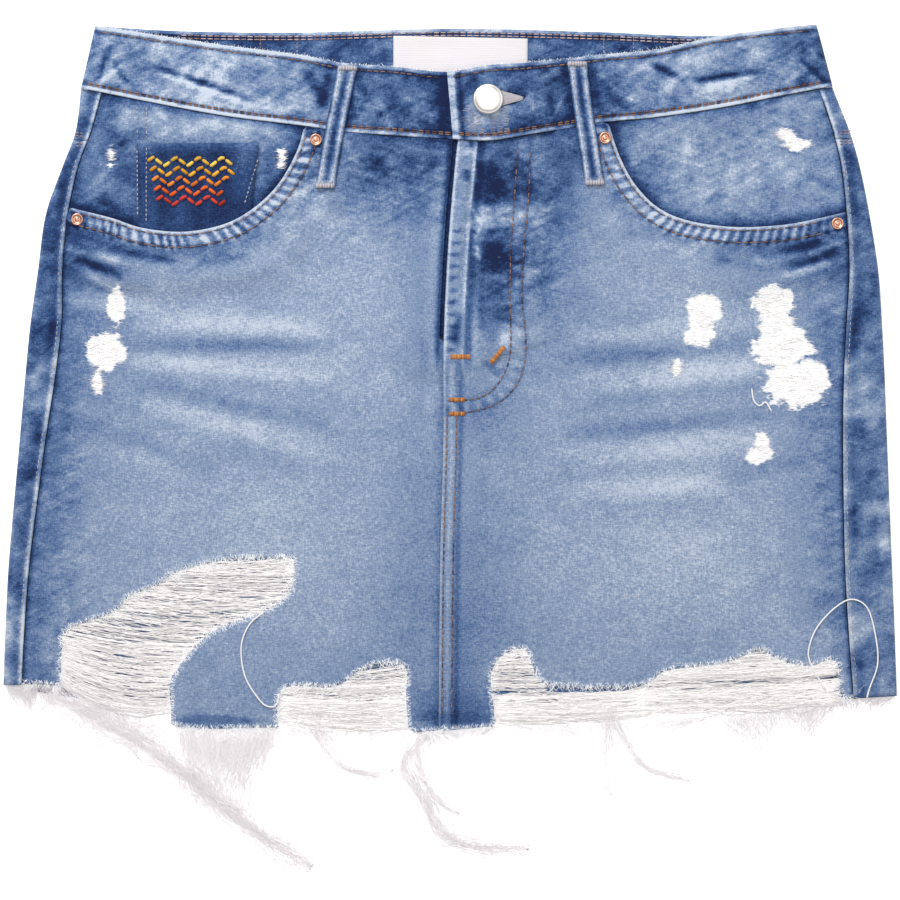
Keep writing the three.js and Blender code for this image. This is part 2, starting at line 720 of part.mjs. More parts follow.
const yoke = (side) => backPiece(side, evenShares(YOKE_ROWS), backTop, yokeSeam);
const HIP_SHARE = 0.2; // the top of the back panel, where the side curves most, has closer rows
const HIP_STEP = 0.034;
const SKIRT_STEP = 0.09;
const BACK_ROWS = [
  ...evenly(0, HIP_SHARE, HIP_STEP),
  ...evenly(HIP_SHARE + SKIRT_STEP, 1, SKIRT_STEP),
];
const backPanel = (side) =>
  backPiece(
    side,
    BACK_ROWS,
    (x) => yokeSeam(x) - SEAM_GAP,
    (x, inFront) => (inFront ? frontHem(x) : backHem(x)),
  );

// Waistband: one strip from its end under the button, round the left side, the back and the right side, to its
// free end over the first
const BAND_TURN = BAND / 2 + BAND_FOLD_RADIUS;
const BAND_SLOPE = 46;
const LABEL_LIFT = 1.8;
const LABEL_LIFT_RUN = 28;
const LABEL_MARGIN = 6;
const OVERLAP_END = 46;
const OVERLAP_RUN = 24;
const bandTurnLeft = (drop) => lerp(BAND_TOP_LEFT, BAND_SEAM_LEFT, drop) + BAND_TURN;
const bandTurnRight = (drop) => lerp(BAND_TOP_RIGHT, BAND_SEAM_RIGHT, drop) - BAND_TURN;
function bandUnderside(x, drop, onTop) {
  const fromSide = Math.min(x - bandTurnLeft(drop), bandTurnRight(drop) - x);
  const nearSide = 1 - smoothstep(fromSide, 0, BAND_SLOPE);
  const besideLabel = Math.max(LABEL.left - LABEL_MARGIN - x, x - LABEL.right - LABEL_MARGIN, 0);
  const overLabel = (1 - smoothstep(besideLabel, 0, LABEL_LIFT_RUN)) * (1 - drop);
  const overEnd = onTop ? 1 - smoothstep(x, OVERLAP_END, OVERLAP_END + OVERLAP_RUN) : 0;
  return (
    BAND_REST + (BAND_AT_SIDE - BAND_REST) * nearSide + LABEL_LIFT * overLabel + BAND_LAYER * overEnd
  );
}
const BAND_FRONT_STEPS = 14;
const BAND_BACK_STEPS = 10;
const BAND_STATIONS = [
  ...evenShares(BAND_FRONT_STEPS).map((share) => ({ part: "under end", share })),
  ...evenShares(FOLD_STEPS).slice(1, -1).map((share) => ({ part: "left turn", share })),
  ...evenShares(BAND_BACK_STEPS).map((share) => ({ part: "back", share })),
  ...evenShares(FOLD_STEPS).slice(1, -1).map((share) => ({ part: "right turn", share })),
  ...evenShares(BAND_FRONT_STEPS).map((share) => ({ part: "top end", share })),
];
const BAND_DROPS = evenShares(3);
function bandPoint(station, drop, face) {
  const [turnLeft, turnRight] = [bandTurnLeft(drop), bandTurnRight(drop)];
  const frontY = (x) => lerp(waistTop(x), waistSeam(x), drop);
  const backY = (x) => lerp(backWaistTop(x), backWaistSeam(x), drop);
  const reach = BAND_FOLD_RADIUS + (face * BAND) / 2;
  if (station.part === "back") {
    const x = lerp(turnLeft, turnRight, station.share);
    return [x, backY(x), BAND_TURN - reach];
  }
  if (station.part === "left turn" || station.part === "right turn") {
    const side = station.part === "left turn" ? -1 : 1;
    const turn = side < 0 ? turnLeft : turnRight;
    const angle = (0.5 - station.share) * Math.PI * -side;
    const x = turn + side * reach * Math.cos(angle);
    return [x, angle > 0 ? frontY(x) : backY(x), BAND_TURN + reach * Math.sin(angle)];
  }
  const onTop = station.part === "top end";
  const freeEnd = lerp(BAND_END_TOP, BAND_END_SEAM, drop);
  const x = onTop ? lerp(turnRight, freeEnd, station.share) : lerp(BAND_UNDERLAP, turnLeft, station.share);
  return [x, frontY(x), bandUnderside(x, drop, onTop) + BAND / 2 + (face * BAND) / 2];
}
const dropAt = (x, y) => clamp((waistTop(x) - y) / (waistTop(x) - waistSeam(x)), 0, 1);
const buttonDrop = dropAt(BUTTON_AT.x, BUTTON_AT.y);
const eyePoints = evenly(Math.PI / 4, (7 * Math.PI) / 4, Math.PI / 8).map(
  (angle) =>
    new THREE.Vector2(
      BUTTON_AT.x + BUTTONHOLE_EYE * Math.cos(angle),
      BUTTON_AT.y + BUTTONHOLE_EYE * Math.sin(angle),
    ),
);
const buttonhole = block(
  [...eyePoints, new THREE.Vector2(BUTTON_AT.x + BUTTONHOLE_LENGTH, BUTTON_AT.y + 1)],
  bandUnderside(BUTTON_AT.x, buttonDrop, true) - LAYER_GAP / 2,
);
const waistband = wall(BAND_STATIONS.length, BAND_DROPS.length, (i, j, face) =>
  bandPoint(BAND_STATIONS[i], BAND_DROPS[j], face),
).subtract(buttonhole);

// Top of whatever lies uppermost on the front, and the highest of it within a small reach
function frontTop(x, y) {
  if (y > waistSeam(x)) return bandUnderside(x, dropAt(x, y), x > 0) + BAND;
  const lift = x < flyEdge(y) ? leftLift(x, y) : rightLift(x, y);
  return frontHeight(x, y) + lift + foldRise(x, y) + DENIM;
}
function seatOn(x, y, reach) {
  const around = [-reach, 0, reach];
  return Math.max(...around.flatMap((dx) => around.map((dy) => frontTop(x + dx, y + dy)))) + SEAM_GAP;
}

// Belt loops, sewn down across the waistband
const LOOP_STEPS = 9;
const LOOP_MARGIN = 1.5;
const LOOP_REACH = LOOP_WIDTH / 2 + LOOP_MARGIN; // how far beside its middle a loop clears what lies below it
function beltLoop(loop) {
  return wall(3, LOOP_STEPS + 1, (i, j, face) => {
    const down = j / LOOP_STEPS;
    const middle = lerp(loop.topX, loop.bottomX, down);
    const y = lerp(loop.topY, loop.bottomY, down);
    const low = seatOn(middle, y, LOOP_REACH);
    return [middle + ((i - 1) * LOOP_WIDTH) / 2, y, face > 0 ? low + LOOP_THICKNESS : low];
  });
}

// A turned piece of hard trim: its half section runs from the axis round to the axis again
function turned(section, segments) {
  const points = section.map((row) => new THREE.Vector2(row.radius, row.height));
  return solidOf(new THREE.LatheGeometry(points, segments).rotateX(Math.PI / 2));
}
const neckLength = BAND + 2 * SEAM_GAP;
const EDGE_ROUND = 0.6;
const button = turned(
  [
    { radius: 0, height: -neckLength },
    { radius: BUTTON_NECK, height: -neckLength },
    { radius: BUTTON_NECK, height: 0 },
    { radius: BUTTON_RADIUS - EDGE_ROUND, height: 0 },
    { radius: BUTTON_RADIUS, height: EDGE_ROUND },
    { radius: BUTTON_RADIUS * 0.97, height: BUTTON_HEIGHT * 0.45 },
    { radius: BUTTON_RADIUS * 0.8, height: BUTTON_HEIGHT * 0.78 },
    { radius: BUTTON_RADIUS * 0.45, height: BUTTON_HEIGHT * 0.96 },
    { radius: 0, height: BUTTON_HEIGHT },
  ],
  24,
);
const rivet = turned(
  [
    { radius: 0, height: 0 },
    { radius: RIVET_RADIUS, height: 0 },
    { radius: RIVET_RADIUS, height: RIVET_HEIGHT * 0.4 },
    { radius: RIVET_RADIUS * 0.75, height: RIVET_HEIGHT * 0.8 },
    { radius: RIVET_RADIUS * 0.35, height: RIVET_HEIGHT * 0.8 },
    { radius: RIVET_RADIUS * 0.25, height: RIVET_HEIGHT },
    { radius: 0, height: RIVET_HEIGHT },
  ],
  16,
);

// The blank label on the inside of the back
const labelCorners = [
  new THREE.Vector2(LABEL.left, LABEL.bottom),
  new THREE.Vector2(LABEL.right, LABEL.bottom),
  new THREE.Vector2(LABEL.right, LABEL.top - LABEL.slant),
  new THREE.Vector2(LABEL.left, LABEL.top),
];
const label = block(labelCorners, BAND + SEAM_GAP, BAND + SEAM_GAP + LABEL.thickness);

// Threads across the rips, and tufts and locks below the hem
const STRAND_FLOOR = 0.9; // middle of a loose strand that lies on the surface
const FRAY_START = -130;
const HEM_INSET = 2; // where a rip's strip ends above the hem
const FRAY_STEPS = 5;
const TUFT_STEPS = 2;
const LOCK_STEPS = 7;
const LOCK_TAPER = 0.6;
const GOLDEN_TURN = 2.4;
const TUFT_VARIETY = 0.28;
const SAG_STEPS = 4;
const firstThread = LEFT_RIP[0].y - THREAD_TUCK;
const heightAt = (x, y) => frontHeight(x, y) + DENIM / 2;
function sagging(from, to, sag) {
  return evenShares(SAG_STEPS).map((share) => {
    const x = lerp(from.x, to.x, share);
    const y = lerp(from.y, to.y, share) - sag * Math.sin(Math.PI * share);
    return new THREE.Vector3(x, y, heightAt(x, y));
  });
}
function threadsOf(rip) {
  if (rip.name === "rip_threads_left") {
    return evenShares(LEFT_RIP_THREADS - 1).map((share) => {
      const leftY = lerp(firstThread, LEFT_RIP_END, share);
      const rightY = lerp(firstThread, LEFT_RIP[LEFT_RIP.length - 1].y, share);
      const from = { x: reading(LEFT_RIP, "y", "left", leftY) - THREAD_TUCK, y: leftY };
      const to = { x: reading(LEFT_RIP, "y", "right", rightY) + THREAD_TUCK, y: rightY };
      return sagging(from, to, LEFT_RIP_SAG * share);
    });
  }
  return HEM_THREADS.filter((row) => row.rip === rip.name).flatMap((row) =>
    evenShares(row.count - 1).map((share) => {
      const y = lerp(row.fromY, row.toY, share);
      return sagging({ x: row.fromX, y }, { x: row.toX, y }, row.sag);
    }),
  );
}
function lockOf(lock) {
  const points = lock.route.map((place, k) => {
    const share = k / (lock.route.length - 1);
    const start = heightAt(place.x, FRAY_START);
    return new THREE.Vector3(place.x, place.y, lerp(start, STRAND_FLOOR, Math.sqrt(share)));
  });
  const route = new THREE.CatmullRomCurve3(points).getPoints(LOCK_STEPS);
  return strand(route, lock.width, LOCK_DEPTH, LOCK_TAPER);
}
const locksOf = (name) => LOCKS.filter((lock) => lock.name === name).map(lockOf);
function inset(rip, distance) {
  const edge = movedLine(rip.outline.slice(1, -1), -distance);
  return block([
    new THREE.Vector2(edge[0].x, BELOW_HEM),
    ...edge,
    new THREE.Vector2(edge[edge.length - 1].x, BELOW_HEM),
  ]);
}
function aboveHem(drop) {
  const xs = evenly(-SKIRT_SPAN, SKIRT_SPAN, OUTLINE_STEP);
  return block([
    ...line(xs, (x) => [x, frontHem(x) + drop]),
    new THREE.Vector2(SKIRT_SPAN, 0),
    new THREE.Vector2(-SKIRT_SPAN, 0),
  ]);
}
function ripWeb(rip) {
  const strip = frontSheet(rip.outline, () => (DENIM - STRIP_DEPTH) / 2, STRIP_DEPTH, noLift)
    .intersect(inset(rip, SEAM_GAP))
    .subtract(inset(rip, SEAM_GAP + STRIP_WIDTH))
    .intersect(aboveHem(HEM_INSET));
  const within = inset(rip, SEAM_GAP + STRIP_WIDTH / 2);
  let web = strip;
  for (const route of threadsOf(rip)) {
    web = web.add(strand(route, THREAD_WIDTH, THREAD_DEPTH).intersect(within));
  }
  for (const lock of locksOf(rip.name)) web = web.add(lock);
  return web;
}
function frayedHem(fray) {
  const edge = (x) => frontHem(x) - 2 * SEAM_GAP - STRIP_WIDTH / 2;
  const along = evenShares(FRAY_STEPS).map((share) => {
    const x = lerp(fray.fromX, fray.toX, share);
    return new THREE.Vector3(x, edge(x), heightAt(x, edge(x)));
  });
  let tufts = strand(along, STRIP_WIDTH, STRIP_DEPTH);
  for (let k = 0; k < fray.count; k += 1) {
    const x = lerp(fray.fromX + TUFT_WIDTH / 2, fray.toX - TUFT_WIDTH / 2, k / (fray.count - 1));
    const length = fray.length * (1 - TUFT_VARIETY + TUFT_VARIETY * Math.sin(k * GOLDEN_TURN));
    const lean = fray.lean * Math.cos(k * GOLDEN_TURN);
    const top = heightAt(x, edge(x));
    const route = evenShares(TUFT_STEPS).map(
      (share) =>
        new THREE.Vector3(x + lean * share * share, edge(x) - length * share, lerp(top, STRAND_FLOOR, share)),
    );
    tufts = tufts.add(strand(route, TUFT_WIDTH, STRIP_DEPTH, TUFT_TAPER));
  }
  for (const lock of locksOf(fray.name)) tufts = tufts.add(lock);
  return tufts;
}

// The whole skirt
const skirt = new THREE.Group();
skirt.add(
  meshOf("waistband", waistband, "denim"),
  meshOf("front_left", frontLeft, "denim"),
  meshOf("front_right", frontRight, "denim"),
  meshOf("fly_shield", flyShield, "darkDenim"),
  meshOf("pocket_facing_left", facingLeft, "denim"),
  meshOf("pocket_facing_right", facingRight, "denim"),
  meshOf("coin_pocket", coinPocket, "navyDenim"),
  meshOf("yoke_left", yoke(-1), "darkDenim"),
  meshOf("yoke_right", yoke(1), "darkDenim"),
  meshOf("back_left", backPanel(-1), "darkDenim"),
  meshOf("back_right", backPanel(1), "darkDenim"),
  meshOf("label", label, "cotton"),
);
for (const loop of LOOPS) skirt.add(meshOf(loop.name, beltLoop(loop), "denim"));
for (const rip of RIPS) skirt.add(meshOf(rip.name, ripWeb(rip), "cotton"));
for (const fray of FRAY) skirt.add(meshOf(fray.name, frayedHem(fray), "cotton"));
for (const { name, x, y } of RIVETS) {
  const mesh = meshOf(name, rivet, "copper");
  mesh.position.set(x, y, seatOn(x, y, RIVET_RADIUS * TRIM_SEAT));
  skirt.add(mesh);
}
const buttonMesh = meshOf("button", button, "silver");
const buttonSeat = seatOn(BUTTON_AT.x, BUTTON_AT.y, BUTTON_RADIUS * TRIM_SEAT);
buttonMesh.position.set(BUTTON_AT.x, BUTTON_AT.y, buttonSeat);
skirt.add(buttonMesh);

export default skirt;
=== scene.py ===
"""A faded denim mini skirt laid flat, front up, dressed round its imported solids.

Every size is in millimetres until a mesh is made. Left and right are the viewer's, looking down at the front.
Where a list of numbers builds a shade or a height, each row gives an amount and then its place and its width.
"""

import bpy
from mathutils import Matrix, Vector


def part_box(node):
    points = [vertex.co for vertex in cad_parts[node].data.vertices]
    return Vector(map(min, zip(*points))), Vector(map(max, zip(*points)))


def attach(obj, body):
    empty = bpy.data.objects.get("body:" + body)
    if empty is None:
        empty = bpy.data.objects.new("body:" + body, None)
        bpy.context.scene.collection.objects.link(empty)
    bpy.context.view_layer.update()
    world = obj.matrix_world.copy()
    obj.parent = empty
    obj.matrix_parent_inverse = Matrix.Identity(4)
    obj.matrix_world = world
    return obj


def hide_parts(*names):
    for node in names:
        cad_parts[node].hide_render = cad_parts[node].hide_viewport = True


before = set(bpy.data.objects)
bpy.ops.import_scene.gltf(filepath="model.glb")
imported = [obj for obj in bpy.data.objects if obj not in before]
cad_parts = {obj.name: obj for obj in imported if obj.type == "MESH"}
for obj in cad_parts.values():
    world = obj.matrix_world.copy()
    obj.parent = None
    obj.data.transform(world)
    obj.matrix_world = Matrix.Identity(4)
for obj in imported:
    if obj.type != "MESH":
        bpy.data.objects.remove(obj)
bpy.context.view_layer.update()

import logging
import math
from collections.abc import Callable
from dataclasses import dataclass, field
from enum import Enum

import bpy
import numpy as np
from mathutils import Vector
from mathutils.geometry import delaunay_2d_cdt
from mathutils.kdtree import KDTree

MM = 0.001
Array = np.ndarray
Curve = Callable[[Array], Array]
Height = Callable[[Array, Array], Array]
Draw = np.random.Generator
Material = bpy.types.Material
Piece = bpy.types.Object
Socket = bpy.types.NodeSocket

# Cloth and the rests between its layers, as in the solids
DENIM = 1.2
BAND = 2.2
LAYER_GAP = 0.4
SEAM_GAP = 0.3
LAYER = DENIM + LAYER_GAP
BAND_LAYER = BAND + LAYER_GAP
SIDE_FOLD_RADIUS = 2.6
BAND_FOLD_RADIUS = 2.9


def lerp(a: float | Array, b: float | Array, share: float | Array) -> float | Array:
    """Returns the value that lies that share of the way from a to b."""
    return a + (b - a) * share


def smoothstep(value: float | Array, low: float, high: float) -> Array:
    """Returns 0 below low and 1 above high, with a smooth rise between them."""
    share = np.clip((np.asarray(value, float) - low) / (high - low), 0.0, 1.0)
    return share * share * (3.0 - 2.0 * share)


def bell(value: float | Array, width: float | Array) -> Array:
    """Returns 1 at 0, falling away smoothly past that width on either side."""
    return np.exp(-((np.asarray(value, float) / width) ** 2))


def bells(value: float | Array, *rows: tuple[float, float, float]) -> Array:
    """Returns the sum of some bells, each with its amount, its middle and its width."""
    return sum(amount * bell(value - middle, width) for amount, middle, width in rows)


def patches(x: Array, y: Array, cell_x: float, cell_y: float, seed: int) -> Array:
    """Smooth random values from -1 to 1, one for each cell of a lattice.

    Args:
        x, y: places in millimetres.
        cell_x, cell_y: the lattice's cell.
        seed: picks the lattice's values.
    Returns:
        The value at each place.
    """
    lattice = np.random.default_rng(seed).uniform(-1, 1, (97, 89))
    u, v = np.asarray(x, float) / cell_x + 4000, np.asarray(y, float) / cell_y + 4000
    i, j = np.floor(u).astype(int), np.floor(v).astype(int)
    fu, fv = smoothstep(u - i, 0, 1), smoothstep(v - j, 0, 1)

    def corner(di: int, dj: int) -> Array:
        """Returns the lattice's value at one corner of each cell."""
        return lattice[(i + di) % 97, (j + dj) % 89]

    return lerp(lerp(corner(0, 0), corner(1, 0), fu), lerp(corner(0, 1), corner(1, 1), fu), fv)


def uneven(x: Array, y: Array, *rows: tuple[float, ...]) -> Array:
    """Returns the sum of some patches, each with its amount, its cell and its seed."""
    return sum(amount * patches(x, y, *row) for amount, *row in rows)


class Table:
    """Rows with named columns, read along a smooth curve through them."""

    def __init__(self, columns: str, *rows: tuple[float, ...]) -> None:
        """Keeps the rows, sorted by their first column."""
        self.columns = {name: k for k, name in enumerate(columns.split())}
        self.rows = np.array(sorted(rows), float)

    def read(self, name: str, at: float | Array) -> Array:
        """Reads a column at places along the first one.

        Args:
            name: the column.
            at: the places.
        Returns:
            The smooth curve's value at each.
        """
        p, v = self.rows[:, 0], self.rows[:, self.columns[name]]
        last = len(p) - 1
        at = np.clip(np.asarray(at, float), p[0], p[-1])
        k = np.clip(np.searchsorted(p, at, side="left") - 1, 0, last - 1)
        span = p[k + 1] - p[k]
        start, end = (
            (v[b] - v[a]) / (p[b] - p[a]) * span
            for a, b in ((np.maximum(k - 1, 0), k + 1), (k, np.minimum(k + 2, last)))
        )
        t = (at - p[k]) / span
        ends = (2 * t**3 - 3 * t**2 + 1) * v[k] + (3 * t**2 - 2 * t**3) * v[k + 1]
        return ends + (t**3 - 2 * t**2 + t) * start + (t**3 - t**2) * end


def plan(x: float | Array, y: float | Array) -> Array:
    """Returns places in plan as rows of x and y."""
    return np.column_stack(np.broadcast_arrays(x, y))


def smooth_line(rows: list[tuple[float, float]], steps: int) -> Array:
    """Returns steps + 1 points of a smooth line through a short list of places."""
    p = np.array(rows, float)
    last = len(p) - 1
    at = np.linspace(0, last, steps + 1)
    k = np.minimum(np.floor(at).astype(int), last - 1)
    t = (at - k)[:, None]
    p0, p1, p2, p3 = p[np.maximum(k - 1, 0)], p[k], p[k + 1], p[np.minimum(k + 2, last)]
    v0, v1 = (p2 - p0) / 2, (p3 - p1) / 2
    return (2 * p1 - 2 * p2 + v0 + v1) * t**3 + (-3 * p1 + 3 * p2 - 2 * v0 - v1) * t**2 + v0 * t + p1


def run_of(line: Array) -> Array:
    """Returns how far along the line each of its points is."""
    return np.concatenate([[0.0], np.cumsum(np.linalg.norm(np.diff(line, axis=0), axis=1))])


def even(line: Array, step: float) -> Array:
    """Returns the same line with evenly spaced points, about that step apart."""
    run = run_of(line)
    places = np.linspace(0, run[-1], max(2, int(round(run[-1] / step)) + 1))
    return np.stack([np.interp(places, run, column) for column in line.T], axis=1)


def moved(line: Array, distance: float) -> Array:
    """Returns the line moved sideways to its left."""
    along = np.gradient(line, axis=0)
    along /= np.linalg.norm(along, axis=1)[:, None]
    return line + plan(-along[:, 1], along[:, 0]) * distance


def softened(values: Array, reach: int) -> Array:
    """Returns the values, each averaged with its neighbours up to that reach."""
    span = 2 * reach + 1
    return np.convolve(np.pad(values, reach, "edge"), np.ones(span) / span, "valid")


def beside(line: Array, x: Array, y: Array) -> tuple[Array, Array]:
    """Finds where places lie from a line.

    Args:
        line: the line's points.
        x, y: the places.
    Returns:
        The distance from the line, positive to its left, and the run along it of the nearest point.
    """
    best = np.full(np.shape(x), np.inf)
    side, run = np.ones(np.shape(x)), np.zeros(np.shape(x))
    for (ax, ay), (bx, by), start in zip(line, line[1:], run_of(line)):
        dx, dy = bx - ax, by - ay
        length = math.hypot(dx, dy)
        t = np.clip(((x - ax) * dx + (y - ay) * dy) / length**2, 0, 1)
        away = np.hypot(x - ax - t * dx, y - ay - t * dy)
        nearer = away < best
        best = np.where(nearer, away, best)
        side = np.where(nearer, np.sign(dx * (y - ay) - dy * (x - ax)), side)
        run = np.where(nearer, start + t * length, run)
    return best * np.where(side == 0, 1, side), run


def within(outline: Array, x: Array, y: Array) -> Array:
    """Returns whether each place lies inside a closed outline."""
    inside = np.zeros(np.shape(x), bool)
    for (ax, ay), (bx, by) in zip(outline, np.roll(outline, -1, axis=0)):
        if ay != by:
            inside ^= ((ay > y) != (by > y)) & (x < (bx - ax) * (y - ay) / (by - ay) + ax)
    return inside


def area_of(outline: Array) -> float:
    """Returns the area inside a closed outline."""
    x, y = outline.T
    return abs(float(np.dot(x, np.roll(y, -1)) - np.dot(y, np.roll(x, -1)))) / 2


# The cut of the skirt, as in the solids
SIDES = Table(
    "y left_fold left_seam right_seam right_fold",
    (200, -205, -192, 204, 212.5), (176, -208, -198.5, 212, 222), (157, -215, -205.5, 216.5, 227.5),
    (130, -224.5, -211.5, 219.5, 233), (98, -229, -214.5, 221, 238), (70, -233, -215, 219.5, 240),
    (40, -236, -218.5, 218, 241.5), (0, -239.5, -224.5, 217.5, 243), (-62, -245, -232.5, 218.5, 245.5),
    (-100, -247, -235.5, 220.5, 247), (-140, -248.4, -237.5, 223.5, 248.4),
)
WAIST = Table(
    "x top seam",
    (-205, 235, 199.5), (-166, 229.5, 192), (-125, 223.5, 184.5), (-84, 218.3, 179.3), (-58, 213.5, 175.6),
    (-30, 211.3, 173.6), (-2, 208.5, 171.6), (22, 212, 170.6), (44, 213.4, 174), (64, 215.8, 177.3),
    (84, 218.3, 180.8), (113, 221, 183.6), (149, 228.5, 188.8), (180, 232.5, 194.8), (213, 235.5, 200.8),
)
BACK_TOP = Table(
    "x top", (-205, 235), (-150, 231.8), (-84, 231), (0, 233.2), (84, 231.2), (149, 229.2), (213, 235.5)
)
HEMS = Table(
    "x front back",
    (-248.4, -131.5, -131.5), (-216, -132.5, -138), (-156, -154, -142), (-94, -155.5, -142),
    (-22, -158, -142), (29, -154.5, -142), (130, -151, -142), (214, -140, -140), (248.4, -137.5, -137.5),
)
FLY = Table("y edge", (172, 4.2), (120, -0.5), (60, -3.5), (8, -3.6), (-60, -5.4), (-160, -6.4))
LEFT_RIP = Table(
    "y left right",
    (-61, -121, -87), (-68.3, -150, -86.5), (-76, -163, -87.5), (-82.7, -178.5, -91), (-91, -187, -104),
    (-100.5, -212, -129), (-110.4, -215.3, -141.5), (-121, -216, -150), (-129.3, -216, -155.4),
    (-146.5, -216, -155),
)
CENTRE_RIP = [(-94, -170), (-94, -135), (-64, -132.6), (-46, -121.4), (-25.5, -121), (-24.4, -139), (-22, -170)]
RIGHT_RIP = [
    (28, -170), (24.2, -144), (23, -125), (30, -114.9), (41.6, -112.1), (47.7, -125), (57.7, -132.1),
    (105, -132.1), (120.4, -123.8), (150.4, -119.9), (165, -114.9), (172, -111.6), (183.2, -117.7),
    (198.7, -121), (215.3, -121), (214, -170),
]
LEFT_MOUTH = smooth_line(
    [
        (-79.5, 186), (-84.4, 165.9), (-96, 145.4), (-111.6, 131.2), (-127.7, 123.4), (-148.7, 119.9),
        (-170.9, 122.1), (-188.1, 127.6), (-216, 134.5),
    ],
    60,
)
RIGHT_MOUTH = smooth_line(
    [
        (86, 188), (90.5, 172), (95.5, 159), (103, 146), (115, 133.8), (132, 126.3), (157.6, 122.7),
        (184.3, 123.8), (203, 127), (224, 132),
    ],
    60,
)
COIN_CORNERS = np.array([(-174, 169), (-106, 169.5), (-112, 118), (-172, 112)], float)
BAND_TOP_LEFT, BAND_TOP_RIGHT = -197.0, 203.7
BAND_SEAM_LEFT, BAND_SEAM_RIGHT = -205.0, 212.5
BAND_END_TOP, BAND_END_SEAM, BAND_UNDERLAP = -1.7, 1.6, 38.0
SEAM_OVERLAP, SLIT_WIDTH, SLIT_END, SLIT_BEND = 8.5, 2.4, 60.0, 6.0
SHIELD_END, SHIELD_RIGHT, SHIELD_TUCK, SHIELD_CORNER = 62.0, 36.0, 8.0, 12.0
FACING_TUCK, LIFT_RUN = 13.0, 14.0
LABEL_LEFT, LABEL_RIGHT, LABEL_TOP, LABEL_BOTTOM = -31.5, 43.2, 229.0, 206.5
BUTTON_X, BUTTON_Y, BUTTON_RADIUS = 21.1, 193.1, 8.5
YOKE_MIDDLE, YOKE_SIDE = 150.0, 171.5
LEFT_RIP_TOP = -61.2
NEAREST_POINTS = 0.35


class Side(Enum):
    """One of the skirt's two halves."""

    LEFT = "left"
    RIGHT = "right"

    @property
    def sign(self) -> int:
        """Returns -1 on the left and 1 on the right."""
        return -1 if self is Side.LEFT else 1


MOUTHS = {Side.LEFT: LEFT_MOUTH, Side.RIGHT: RIGHT_MOUTH}


def side_x(side: Side, y: Array, part: str = "seam") -> Array:
    """Returns the x of a side's seam or fold."""
    return SIDES.read(side.value + "_" + part, y)


def waist_seam(x: Array) -> Array:
    """Returns the front waist seam's y."""
    return WAIST.read("seam", x)


def fly_edge(y: Array) -> Array:
    """Returns the fly's x, which runs on as the centre seam."""
    return FLY.read("edge", y)


def front_hem(x: Array) -> Array:
    """Returns the front hem's y."""
    return HEMS.read("front", x)


# The largest folds of the front, as in the solids: from, to, width and rise
FOLDS = (
    (8.5, 166, 1.5, 84, 3.6, 1.5), (27, 164, 29, 70, 4.0, 0.7),
    (-203, 112, -158, 100, 5.0, 1.1), (-206, 98, -150, 84, 6.0, 0.8),
    (211, 112, 168, 100, 5.0, 1.1), (212, 97, 158, 84, 6.0, 0.8),
)
FRONT_AT_SIDE, SIDE_SLOPE, WAIST_SLOPE = 2 * SIDE_FOLD_RADIUS, 48.0, 32.0
FRONT_AT_WAIST = BAND_LAYER + (BAND - DENIM) / 2
BAND_TURN = BAND / 2 + BAND_FOLD_RADIUS
BAND_SLOPE, LABEL_LIFT, LABEL_LIFT_RUN, LABEL_MARGIN = 46.0, 1.8, 28.0, 6.0
OVERLAP_END, OVERLAP_RUN = 46.0, 24.0


def ridge(x: Array, y: Array, fold: tuple[float, ...]) -> Array:
    """Returns how much of one fold (from x, from y, to x, to y, width) is at each place, 1 at its middle."""
    ax, ay, bx, by, width = fold[:5]
    dx, dy = bx - ax, by - ay
    along = np.clip(((x - ax) * dx + (y - ay) * dy) / (dx * dx + dy * dy), 0, 1)
    away = np.hypot(x - ax - along * dx, y - ay - along * dy)
    return bell(away, width) * np.sqrt(np.maximum(np.sin(np.pi * along), 0))


def front_height(x: Array, y: Array) -> Array:
    """Returns the height of the front's lowest layer above the surface."""
    from_side = np.minimum(x - side_x(Side.LEFT, y), side_x(Side.RIGHT, y) - x)
    near_side = 1 - smoothstep(from_side, 0, SIDE_SLOPE)
    near_waist = 1 - smoothstep(waist_seam(x) - y, 0, WAIST_SLOPE)
    side_rise = (FRONT_AT_SIDE - LAYER) * near_side
    return LAYER + side_rise + (FRONT_AT_WAIST - LAYER) * near_waist * (1 - near_side)


def fade_beyond(distance: Array, full: float, run: float = LIFT_RUN) -> Array:
    """Returns 1 up to a distance and a smooth fall to 0 past it."""
    return 1 - smoothstep(distance, full, full + run)


def panel_lift(side: Side, x: Array, y: Array) -> Array:
    """Returns what a front panel is lifted by: the layers that lie under it."""
    pocket = fade_beyond(np.abs(beside(MOUTHS[side], x, y)[0]), FACING_TUCK + LIFT_RUN)
    by_shield = smoothstep(y, SHIELD_END - 2 * LIFT_RUN, SHIELD_END - LIFT_RUN)
    if side is Side.LEFT:
        from_coin = np.maximum(np.maximum(COIN_CORNERS[0, 0] - x, x - COIN_CORNERS[1, 0]), 0)
        coin = fade_beyond(from_coin, LIFT_RUN) * fade_beyond(COIN_CORNERS[3, 1] - y, LIFT_RUN)
        shield = fade_beyond(fly_edge(y) - SHIELD_TUCK - x, LIFT_RUN / 2, LIFT_RUN) * by_shield
        return LAYER * (np.maximum(pocket, shield) + coin)
    over_shield = smoothstep(y, SLIT_END - LIFT_RUN, SLIT_END)
    under = lerp(fly_edge(y) + SEAM_OVERLAP, SHIELD_RIGHT, over_shield)
    overlap = fade_beyond(x - under, LIFT_RUN / 2)
    doubled = by_shield * (1 - smoothstep(y, SHIELD_END + LIFT_RUN / 2, SHIELD_END + 2 * LIFT_RUN))
    doubled = doubled * fade_beyond(x - fly_edge(y) - SEAM_OVERLAP, LIFT_RUN / 2)
    return LAYER * (np.maximum(pocket, overlap) + doubled)


